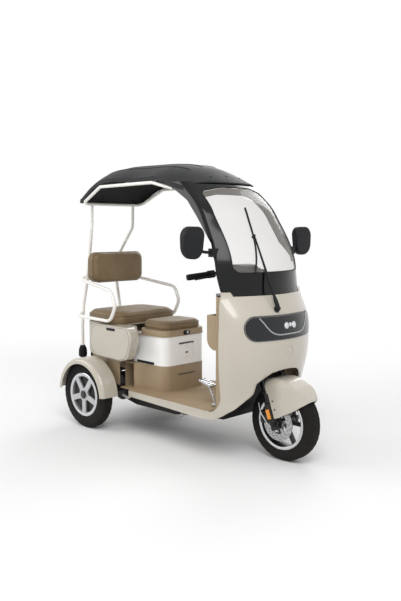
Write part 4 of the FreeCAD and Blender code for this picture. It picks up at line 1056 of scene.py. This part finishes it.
class Cabin(Pieces):
    """Screen seal and liner, roof ribs and bolts, wiper, mirrors."""

    liner_start = 9.5
    liner_depth = 44.0
    liner_wall = 3.0
    rib_places = (-150.0, -52.0, 52.0, 150.0)
    rib_front = -520.0
    rib_rear = -1400.0
    rib_points = 70
    rib_radius = 5.5
    # x and y of the bolts along the roof's front edge, and x of those along its sides
    front_bolts = ((-468, -240), (-440, -120), (-432, 0), (-440, 120), (-468, 240))
    side_bolts = (-640, -860, -1100, -1320)

    def build(self) -> None:
        """Make the trim of the cabin."""
        screen = Skin(self.nodes["windscreen_frame"], self.nodes["windscreen_glass"])
        self.seal(screen)
        self.liner(screen)
        self.roof()
        self.mirrors()
        self.wiper(screen)

    def seal(self, screen: Skin) -> None:
        """Rubber seal round the windscreen's glass."""
        corners = [(-267, 1013, 38), (267, 1013, 38), (261, 1320, 400), (248, 1442, 32),
                   (120, 1467, 200), (-120, 1467, 200), (-248, 1442, 32), (-261, 1320, 400)]
        path = screen.line(resample(rounded(corners, 10), 240), 0.2)
        self.maker.make("screen_seal", sweep(path, 3.0, 8, closed=True), Body.CHASSIS,
                        "black_plastic")

    def liner(self, screen: Skin) -> None:
        """Dark flange that runs back from the glass's edge into the cabin.

        Its inner line is the edge's line moved by the liner's depth against the surface's
        normal, and its outer face lies one wall outside it.
        """
        corners = [(-268, 1060, 1), (-262, 1320, 400), (-249, 1443, 32), (-120, 1468, 200),
                   (120, 1468, 200), (249, 1443, 32), (262, 1320, 400), (268, 1060, 1)]
        line = rounded(corners, 10)[5:-5]
        path, normals = [], []
        for y, z in resample(line, 120, closed=False):
            spot, normal = screen.ahead(y, z)
            path.append(spot)
            normals.append(normal)
        path, normal = np.array(path), np.array(normals)
        for _ in range(6):
            normal[1:-1] = (normal[:-2] + normal[1:-1] + normal[2:]) / 3
        normal /= np.linalg.norm(normal, axis=1)[:, None]
        lateral = np.cross(np.gradient(path, axis=0), normal)
        lateral /= np.linalg.norm(lateral, axis=1)[:, None]
        deep = (self.liner_depth * tapered_ends(len(path), 12.0, 0.25))[:, None]
        near = path - normal * self.liner_start
        far, side = near - normal * deep, lateral * self.liner_wall
        loop = np.stack((near, far, far + side, near + side), axis=1)
        self.maker.make("screen_liner", capped(loop), Body.CHASSIS, "black_plastic", 50.0)

    def roof(self) -> None:
        """Four long ribs and rows of bolts on the roof."""
        skin = Skin(self.nodes["roof_cap"])
        ribs = []
        along = np.linspace(self.rib_front, self.rib_rear, self.rib_points)
        ends = tapered_ends(self.rib_points, 5.0, 0.12)
        for y in self.rib_places:
            path = np.array([skin.above(x, y)[0] for x in along])
            path[:, 2] -= 3.5 * (1 - ends) + 2.2
            ribs.append(sweep(path, self.rib_radius * ends, 12))
        self.maker.make("roof_ribs", merged(ribs), Body.CHASSIS, "roof_dark")
        bolts = []
        for x, y in self.front_bolts:
            spot, normal = skin.above(x, y)
            bolts.append(dome(spot, normal, 6.5, 3.2))
        for x in self.side_bolts:
            for side in (-1, 1):
                spot, normal = skin.hit((x, side * 500, self.side_z(x)), (0, -side, 0))
                bolts.append(dome(spot, normal, 5.5, 2.6))
        self.maker.make("roof_bolts", merged(bolts), Body.CHASSIS, "black_plastic")

    def side_z(self, x: float) -> float:
        """Height of the middle of the roof's side at x."""
        table = np.array(((-1465, 1402), (-1350, 1464), (-1240, 1508), (-1000, 1516), (-760, 1514),
                          (-660, 1500), (-560, 1468)))
        return float(np.interp(x, table[:, 0], table[:, 1])) + 12.0

    def mirrors(self) -> None:
        """Mirror glasses and their ball joints."""
        outline = rounded([(391, 1240, 38), (522, 1242, 46), (516, 1109, 55), (415, 1094, 50)], 8)
        glass = slab(outline, on_plane(0, -267.4, -1.0), 1.6, 1.0)
        joint = merged((dome((-249, 412, 1133), (0, -1, 0), 13, 13, 20),
                        dome((-226.5, 327, 1118), (0.75, 0.66, 0), 9, 5, 20)))
        for name, face, ball in (("right", glass.mirrored(), joint.mirrored()),
                                 ("left", glass, joint)):
            self.maker.make("mirror_glass_" + name, face, Body.CHASSIS, "mirror_face")
            self.maker.make("mirror_joint_" + name, ball, Body.CHASSIS, "black_plastic")

    def wiper(self, screen: Skin) -> None:
        """Wiper: pivot with its cap, straight tapered arm, joint, blade and rubber.

        The arm is a straight bar from the pivot to the joint, and its radius falls evenly
        from 8 to 4.5 mm. The blade follows the screen's surface at a lift of 12 mm.
        """
        shell = Skin(self.nodes["front_shell"])
        spot, normal = shell.ahead(-72, 819)
        collar = lathe(np.array(((-0.5, 17), (4, 17), (7, 14), (20, 12.5), (24, 11), (25, 6))),
                       spot, normal, 32, closed=False)
        joint, outward = screen.ahead(-114, 1196)
        start, end = spot + normal * 17, joint + outward * 19
        share = np.linspace(0, 1, 14)[:, None]
        arm = sweep(start + (end - start) * share, np.linspace(8.0, 4.5, 14), 12)
        cover = sweep(start + (end - start) * np.linspace(0, 0.16, 6)[:, None],
                      np.array((10.5, 11.5, 11.5, 11.0, 10.0, 8.0)), 14)
        yoke = lathe(np.array(((-4, 7), (16, 7), (20, 5))), joint + outward * 5, outward, 20,
                     closed=False)
        line = resample(np.array(((-157, 1018), (-133, 1120), (-104, 1230), (-76, 1348))), 60,
                        closed=False)
        blade = sweep(screen.line(line, 10.5), 4.2, 10)
        rubber = sweep(screen.line(line, 3.4), 2.2, 8)
        body = self.maker.make("wiper_arm", merged((collar, arm, cover, yoke, blade)),
                               Body.CHASSIS, "black_plastic")
        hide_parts("wiper")
        self.maker.make("wiper_rubber", rubber, Body.CHASSIS, "grip_rubber")


@dataclass(frozen=True)
class Cushion:
    """One pad: the node it stands for, its rectangle with a radius, its height and its body."""

    name: str
    node: str
    outline: tuple[float, ...]
    base: float
    height: float
    body: Body
    upright: bool = False


CUSHIONS = (
    Cushion("driver_pad", "driver_cushion", (-994, -772, -154, 154, 54), 636.6, 58.0, Body.LID),
    Cushion("passenger_pad", "rear_cushion", (-1432, -1095, -245, 245, 62), 652.1, 80.0,
            Body.CHASSIS),
    Cushion("back_pad", "backrest", (-208, 208, 895, 1088, 52), -1450.0, 78.0, Body.CHASSIS, True),
)


class Seats(Pieces):
    """Soft pads with piped seams."""

    seam_share = 0.62
    top_margin = 6.5
    crown = 6.0
    wrinkle = 0.7
    closing = 0.16
    fill = 0.85

    def build(self) -> None:
        """Make the pads.

        A pad rises from its base in three parts. The side bulges out by a half sine of the
        height. Above the seam the top closes in with share s and rises by
        crown * (1 - s ** 2.6), and soft wrinkles fade towards the middle.
        """
        for pad in CUSHIONS:
            outline = resample(rectangle(*pad.outline, 12), 168)
            centre = outline.mean(0)
            seam = pad.height * self.seam_share

            def spot(pairs: Array, height: Array | float, pad: Cushion = pad) -> Array:
                rise = np.broadcast_to(np.asarray(height, float) + pad.base, (len(pairs),))
                if pad.upright:
                    return np.stack((rise, pairs[:, 0], pairs[:, 1]), axis=1)
                return np.stack((pairs[:, 0], pairs[:, 1], rise), axis=1)

            def inward(distance: float) -> Array:
                away = outline - centre
                return outline - away / np.linalg.norm(away, axis=1)[:, None] * distance

            rows = []
            for t in np.linspace(0, 1, 9):
                rows.append(spot(inward(4.5 - 5.5 * math.sin(math.pi * t * 0.85)), seam * t))
            rows.append(spot(inward(2.2), seam + 1.2))
            turn = np.linspace(0, 2 * math.pi, len(outline), endpoint=False)
            top = pad.height - self.top_margin
            for s in np.concatenate((1 - self.closing * np.linspace(0.05, 1, 10) ** 1.6,
                                     np.linspace(0.8, 0.02, 22))):
                edge = min(1.0, (1 - s) / self.closing)
                swell = seam + (top - seam) * math.sin(edge * math.pi / 2) ** 0.8
                crown = self.crown * (1 - s ** 2.6)
                fold = self.wrinkle * s ** 6 * np.sin(turn * 23 + 4 * math.sin(s * 9)) * edge
                pairs = centre + (outline - centre) * s * (1 - 0.008 * (1 - edge))
                rows.append(spot(pairs, swell + crown + fold))
            thing = self.maker.make(pad.name, capped(np.array(rows)), pad.body, "seat_leather", 60)
            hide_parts(pad.node)
            for label, level, inset in (("seam", seam + 0.6, 1.0), ("hem", 1.8, 4.2)):
                path = spot(inward(inset), level)
                self.maker.make(f"{pad.name}_{label}", sweep(path, 2.6, 8, closed=True), pad.body,
                                "piping")


class SeatTrim(Pieces):
    """Slots, latch, lock tab, vents and rim of the seat box."""

    door_face = -756.6
    lid_face = -755.8
    base_face = -756.2
    box_side = 172.0

    def build(self) -> None:
        """Make the small trim of the box."""
        door, inlay = on_plane(0, self.door_face), on_plane(0, self.door_face + 2.0)
        lid, base = on_plane(0, self.lid_face), on_plane(0, self.base_face)
        plates = (
            ("door_slot", slab(rectangle(-62, 62, 551, 557.5, 3), door, 2.2, 0.8), Body.DOOR,
             "black_plastic"),
            ("door_latch", slab(rectangle(-22, 22, 472, 508, 9, 5), door, 2.4, 1.2), Body.DOOR,
             "box_white"),
            ("door_finger_slot", slab(rectangle(-13, 13, 492, 502, 4), inlay, 1.0, 0.4), Body.DOOR,
             "seam_shadow"),
            ("lid_tab", slab(rectangle(-24, 24, 606, 630, 6, 5), lid, 7.0, 2.5), Body.LID,
             "black_plastic"),
            ("lid_key", dome((-745.6, 0, 619.5), (1, 0, 0), 8.5, 2.0, 28), Body.LID,
             "bright_steel"),
            ("base_slot", slab(rectangle(-70, 70, 364, 371, 3), base, 1.2, 0.5), Body.CHASSIS,
             "seam_shadow"),
        )
        for name, form, body, finish in plates:
            self.maker.make(name, form, body, finish)
        vent = rounded([(-1012, 428, 5), (-858, 426, 5), (-858, 441, 5), (-1012, 443, 5)], 5)
        vents = both((slab(vent, on_plane(1, self.box_side), 1.6, 0.7),))
        self.maker.make("box_vents", vents, Body.CHASSIS, "black_plastic")
        self.deck()

    def deck(self) -> None:
        """Tan rim round the top of the seat box."""
        outline = resample(rounded([(-1078, -178, 30), (-757, -178, 62), (-757, 178, 62),
                                    (-1078, 178, 30)], 10), 150)
        path = np.column_stack((outline, np.full(len(outline), 603.0)))
        self.maker.make("box_rim", sweep(path, 3.4, 8, closed=True), Body.CHASSIS, "tan_plastic")


class FrontGear(Pieces):
    """Fork seals, fender bolts, stays, grips' ribs and gauge face."""

    rake = math.radians(20.0)
    fork_y = 88.0
    fork_offset = 30.0
    trail = 36.0
    seal_height = 372.0
    fender_half = 102.0
    bar_start = np.array((-352.0, 170.0, 999.0))
    bar_end = np.array((-415.0, 322.0, 981.0))

    def build(self) -> None:
        """Make the small pieces that steer with the fork."""
        up = np.array((-math.sin(self.rake), 0.0, math.cos(self.rake)))
        bolts = [dome((x, self.fender_half - 0.4, z), AXLE_WAY, 5.2, 3.0)
                 for x, z in ((-8, 334), (7, 291), (-100, 305))]
        bolts.append(bolt((0, self.fender_half + 1.2, TYRE_RADIUS), AXLE_WAY, 9.5))
        foot = np.array((self.trail - self.seal_height * math.tan(self.rake)
                         + self.fork_offset / math.cos(self.rake), self.fork_y, self.seal_height))
        seal = np.array(((-8, 19.6), (-6, 22.4), (4, 22.4), (7, 20.4), (8, 16.6), (-8, 16.6)))
        band = np.array(((-4, 20.1), (-3, 21.2), (3, 21.2), (4, 20.1)))
        seals = (lathe(seal, foot, up, 32), lathe(band, foot - up * 60, up, 32))
        path = bend_line([(-101, 103.4, 312), (-86, 106, 262), (-30, 110, 205), (-8, 110, 200)], 18)
        self.maker.make("fender_bolts", both(bolts), Body.STEERING, "black_plastic")
        self.maker.make("fork_seals", both(seals), Body.STEERING, "grip_rubber")
        self.maker.make("fender_stays", both((sweep(path, 2.6, 8),)), Body.STEERING, "rim_silver")
        self.grips()
        self.gauge()

    def grips(self) -> None:
        """Raised ribs and a flange on each grip."""
        along = self.bar_end - self.bar_start
        along /= np.linalg.norm(along)
        rib = np.array(((-1.2, 15.8), (-0.7, 17.1), (0.7, 17.1), (1.2, 15.8)))
        flange = np.array(((0, 16), (0.5, 21), (3, 21), (4, 16)))
        ribs = [lathe(rib, self.bar_end - along * (6 + 4.8 * i), along, 28) for i in range(22)]
        ribs.append(lathe(flange, self.bar_end - along * 119, along, 32))
        self.maker.make("grip_ribs", both(ribs), Body.STEERING, "grip_rubber")

    def gauge(self) -> None:
        """Gauge window on the instrument's slanted rear face, with six bars."""
        top, low = np.array((-338.0, 0, 1046.0)), np.array((-352.0, 0, 985.0))
        up = (top - low) / np.linalg.norm(top - low)
        out = np.array((-up[2], 0.0, up[0]))
        middle = (top + low) / 2

        def face(pairs: Array, height: float) -> Array:
            return (middle + pairs[:, :1] * np.array(AXLE_WAY) + pairs[:, 1:] * up
                    + out * (height - 0.3))

        window = slab(rectangle(-50, 50, -20, 20, 8, 6), face, 1.6, 0.8)
        bars = [slab(rectangle(x - 4, x + 4, -8, 6, 1, 3), lambda p, h: face(p, h + 1.3), 0.7, 0.2)
                for x in range(-34, 44, 13)]
        self.maker.make("gauge_window", window, Body.STEERING, "lamp_glass")
        self.maker.make("gauge_bars", merged(bars), Body.STEERING, "gauge_light")


class RearGear(Pieces):
    """Coil springs, post boots, rear lenses, side box trim and blocks by the rear wheels."""

    cover_y = 299.8

    def build(self) -> None:
        """Make the small pieces of the vehicle's rear half."""
        coils = []
        foot, top = np.array((-1291.0, 212.0, 210.0)), np.array((-1360.0, 202.0, 350.0))
        span = top - foot
        way = span / np.linalg.norm(span)
        first = np.cross(way, (0.0, 1.0, 0.0))
        first /= np.linalg.norm(first)
        second = np.cross(way, first)
        t = np.linspace(0, 1, 220)
        turn = t * 2 * math.pi * 7.5
        helix = (foot + span * (0.28 + 0.58 * t)[:, None]
                 + 26.0 * (first * np.cos(turn)[:, None] + second * np.sin(turn)[:, None]))
        coils.append(sweep(helix, 4.2, 10))
        for share in (0.27, 0.88):
            coils.append(lathe(np.array(((-3, 12), (-3, 30), (3, 30), (3, 12))),
                               foot + span * share, way, 36))
        self.maker.make("rear_coils", both(coils), Body.CHASSIS, "spring_steel")
        boot = np.array(((-62, 15.5), (-62, 22), (-58, 26), (-44, 28), (-16, 27), (-4, 24),
                         (4, 20), (14, 16.5), (16, 14.3)))
        boots = both((lathe(boot, (-1575, 165, 452), (0, 0, 1), 40, closed=False),))
        self.maker.make("post_boots", boots, Body.CHASSIS, "grip_rubber")
        lens = slab(rectangle(101, 127, 392, 436, 6, 5), on_plane(0, -1537.8, -1.0), 4.0, 2.5)
        self.maker.make("rear_lenses", both((lens,)), Body.CHASSIS, "red_lens")
        self.side_boxes()
        self.brackets()

    def side_boxes(self) -> None:
        """Seam, top slot and screws of the side covers."""
        corners = [(-1300, 650, 45), (-948, 652, 45), (-920, 578, 30), (-963, 458, 45),
                   (-1034, 441, 40), (-1285, 450, 45), (-1329, 534, 40)]
        outline = resample(rounded(corners, 10), 160)
        centre = outline.mean(0)
        face = on_plane(1, self.cover_y)
        seam = face(centre + (outline - centre) * 0.93, 0.0)
        slot = slab(rectangle(-1150, -1070, 622, 638, 5, 5), face, 2.0, 1.0)
        screws = [dome((x, self.cover_y - 0.2, z), AXLE_WAY, 5.0, 1.8)
                  for x, z in ((-1272, 612), (-1262, 488), (-985, 612), (-1002, 480))]
        for name, forms, finish in (("side_seams", [sweep(seam, 1.1, 6, closed=True)],
                                     "seam_shadow"),
                                    ("side_slots", [slot], "black_plastic"),
                                    ("side_screws", screws, "bright_steel")):
            self.maker.make(name, both(forms), Body.CHASSIS, finish)

    def brackets(self) -> None:
        """Light curved stays and dark blocks ahead of the rear wheels."""
        blocks = []
        path = bend_line([(-985, 252, 236), (-1010, 240, 214), (-1070, 214, 206),
                          (-1120, 196, 210)], 24)
        for x, z, radius in ((-1052, 245, 15.0), (-1078, 229, 17.0), (-1100, 252, 14.0)):
            blocks.append(lathe(np.array(((0, radius * 0.5), (2, radius), (44, radius),
                                          (48, radius * 0.6))), (x, 150, z), (0, 1, 0), 24,
                                closed=False))
        self.maker.make("step_stays", both((sweep(path, 9.0, 12),)), Body.CHASSIS, "shell_cream")
        self.maker.make("link_blocks", both(blocks), Body.CHASSIS, "grip_rubber")


class Skirts(Pieces):
    """Tan panels between the seat box's base and the rear fenders, and a small lug."""

    front_x = -1094.0
    rear_x = -1262.0
    half_width = 246.0
    draw_in = 16.0
    wall = 4.0
    low_z = 280.0
    rise = 84.0
    high_z = 444.0

    def build(self) -> None:
        """Make the panels.

        A panel is a thin sheet whose Y follows the base's flared end, then draws in by a
        cosine over its last 40 mm, and whose lower edge rises towards the rear.
        """
        share = np.linspace(0, 1, 40)
        x = self.front_x + (self.rear_x - self.front_x) * share
        turn = np.clip((share - 0.75) * 4, 0, 1) * math.pi
        y = self.half_width - self.draw_in * (1 - np.cos(turn)) / 2
        low = self.low_z + self.rise * share ** 1.4
        z = low + (self.high_z - low) * np.linspace(0, 1, 24)[:, None]
        outer = np.stack((np.broadcast_to(x, z.shape), np.broadcast_to(y, z.shape), z), axis=2)
        inner = outer - (0.0, self.wall, 0.0)
        loop = np.concatenate((outer, inner[::-1]), axis=0)
        panel = capped(loop.transpose(1, 0, 2))
        self.maker.make("rear_skirts", both((panel,)), Body.CHASSIS, "tan_plastic")
        stub = lathe(np.array(((0, 7), (14, 7), (16, 11), (24, 11), (26, 8))), (-532, -236, 210),
                     (0.0, -0.8, -0.6), 24, closed=False)
        ring = lathe(np.array(((-3, 5), (-3, 10), (3, 10), (3, 5))), (-532, -258, 193),
                     (1.0, 0.0, 0.0), 24)
        self.maker.make("floor_lug", merged((stub, ring)), Body.CHASSIS, "bright_steel")


class FloorTrim(Pieces):
    """Ribs of the foot mat and the pedal's rubber."""

    def build(self) -> None:
        """Make the mat's ribs and the pedal pad."""
        mat = on_plane(2, 271.8)
        ribs = [slab(rectangle(-690, -360, y - 7, y + 7, 5), mat, 2.2, 1.6)
                for y in range(-180, 181, 45)]
        self.maker.make("mat_ribs", merged(ribs), Body.CHASSIS, "floor_mat")
        rows = []
        for i in range(5):
            share = (i + 0.5) / 5
            centre = np.array((-431 + 88 * share, 0.0, 409.0 - 23 * share))
            path = np.array([centre + (0, y, 0.4) for y in np.linspace(-222, -178, 12)])
            rows.append(sweep(path, 2.4, 8))
        self.maker.make("pedal_ribs", merged(rows), Body.CHASSIS, "grip_rubber")


def linked(name: str, data: bpy.types.ID) -> Thing:
    """New object of some data, in the scene."""
    thing = bpy.data.objects.new(name, data)
    bpy.context.scene.collection.objects.link(thing)
    return thing


def in_view(graph: Graph) -> bpy.types.NodeSocket:
    """Socket that is 1 for rays of the camera and those that gloss or glass sends on."""
    path = graph.add("ShaderNodeLightPath")
    seen = graph.math("ADD", path.outputs["Is Camera Ray"], path.outputs["Is Glossy Ray"],
                      clamp=True)
    return graph.math("ADD", seen, path.outputs["Is Transmission Ray"], clamp=True)


@dataclass
class Studio:
    """Floor, light and camera."""

    camera_at: tuple[float, float, float] = (3.0555, -3.081, 1.245)
    yaw: float = 44.267
    pitch: float = 5.658
    lens: float = 43.81
    floor_size: float = 60.0
    clear_radius: float = 1.7
    fade_radius: float = 4.5

    def world(self) -> None:
        """Even soft light, seen as plain white."""
        world = bpy.data.worlds.new("studio")
        bpy.context.scene.world = world
        graph = cleared(world)
        strength = graph.feed(graph.add("ShaderNodeMapRange"), To_Min=0.55, Value=in_view(graph))
        sky = graph.feed(graph.add("ShaderNodeBackground"), Color=WHITE,
                         Strength=strength.outputs[0])
        graph.feed(graph.add("ShaderNodeOutputWorld"), Surface=sky.outputs[0])

    def floor(self) -> None:
        """Pale floor that fades into the white background away from the object."""
        half = self.floor_size / 2
        corners = [(-half, -half, 0), (half, -half, 0), (half, half, 0), (-half, half, 0)]
        mesh = bpy.data.meshes.new("floor")
        mesh.from_pydata(corners, [], [(0, 1, 2, 3)])
        floor = linked("floor", mesh)
        made = bpy.data.materials.new("floor")
        graph = cleared(made)
        length = graph.add("ShaderNodeVectorMath", operation="LENGTH")
        graph.join(graph.add("ShaderNodeTexCoord").outputs["Object"], length.inputs[0])
        fade = graph.feed(graph.add("ShaderNodeMapRange", interpolation_type="SMOOTHSTEP"),
                          From_Min=self.clear_radius, From_Max=self.fade_radius,
                          Value=length.outputs["Value"])
        pale = graph.feed(graph.add("ShaderNodeBsdfDiffuse"), Color=(0.9, 0.9, 0.9, 1.0))
        glow = graph.feed(graph.add("ShaderNodeEmission"), Color=WHITE)
        share = graph.math("MULTIPLY", fade.outputs[0], in_view(graph), clamp=True)
        mix = graph.add("ShaderNodeMixShader")
        for slot, source in enumerate((share, pale.outputs[0], glow.outputs[0])):
            graph.join(source, mix.inputs[slot])
        graph.feed(graph.add("ShaderNodeOutputMaterial"), Surface=mix.outputs[0])
        mesh.materials.append(made)

    def lamp(self, name: str, at: Sequence[float], power: float, size: float) -> None:
        """Add a soft square lamp that points at the object's middle."""
        data = bpy.data.lights.new(name, "AREA")
        data.energy = power
        data.size = size
        lamp = linked(name, data)
        lamp.location = at
        aim = Vector((0.0, 0.0, 0.7)) - lamp.location
        lamp.rotation_euler = aim.to_track_quat("-Z", "Y").to_euler()

    def camera(self) -> None:
        """Camera at the photograph's place and angle."""
        data = bpy.data.cameras.new("camera")
        data.lens = self.lens
        data.sensor_width = 36.0
        camera = linked("camera", data)
        camera.location = self.camera_at
        turn, lean = math.radians(self.yaw), math.radians(self.pitch)
        aim = Vector((-math.sin(turn) * math.cos(lean), math.cos(turn) * math.cos(lean),
                      -math.sin(lean)))
        camera.rotation_euler = aim.to_track_quat("-Z", "Y").to_euler()
        bpy.context.scene.camera = camera

    def build(self) -> None:
        """Set up the whole studio."""
        self.world()
        self.floor()
        self.lamp("key", (3.2, -2.6, 4.2), 150.0, 3.0)
        self.lamp("side", (-3.6, -3.4, 2.8), 80.0, 3.0)
        self.lamp("back", (-2.0, 4.0, 3.6), 90.0, 3.0)
        self.camera()
        bpy.context.scene.view_settings.view_transform = "Standard"


def main() -> None:
    """Build the looks round the frame and report each step."""
    logging.basicConfig(level=logging.INFO, format="%(name)s %(message)s")
    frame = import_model()
    Studio().build()
    paint = Paint()
    nodes = frame["nodes"]
    CadPieces(nodes, paint).dress()
    maker = Maker(paint)
    for kind in (Tyres, Rims, Lamps, Cabin, Seats, SeatTrim, FrontGear, RearGear, Skirts,
                 FloorTrim):
        kind(maker, nodes).build()


if __name__ == "__main__":
    main()
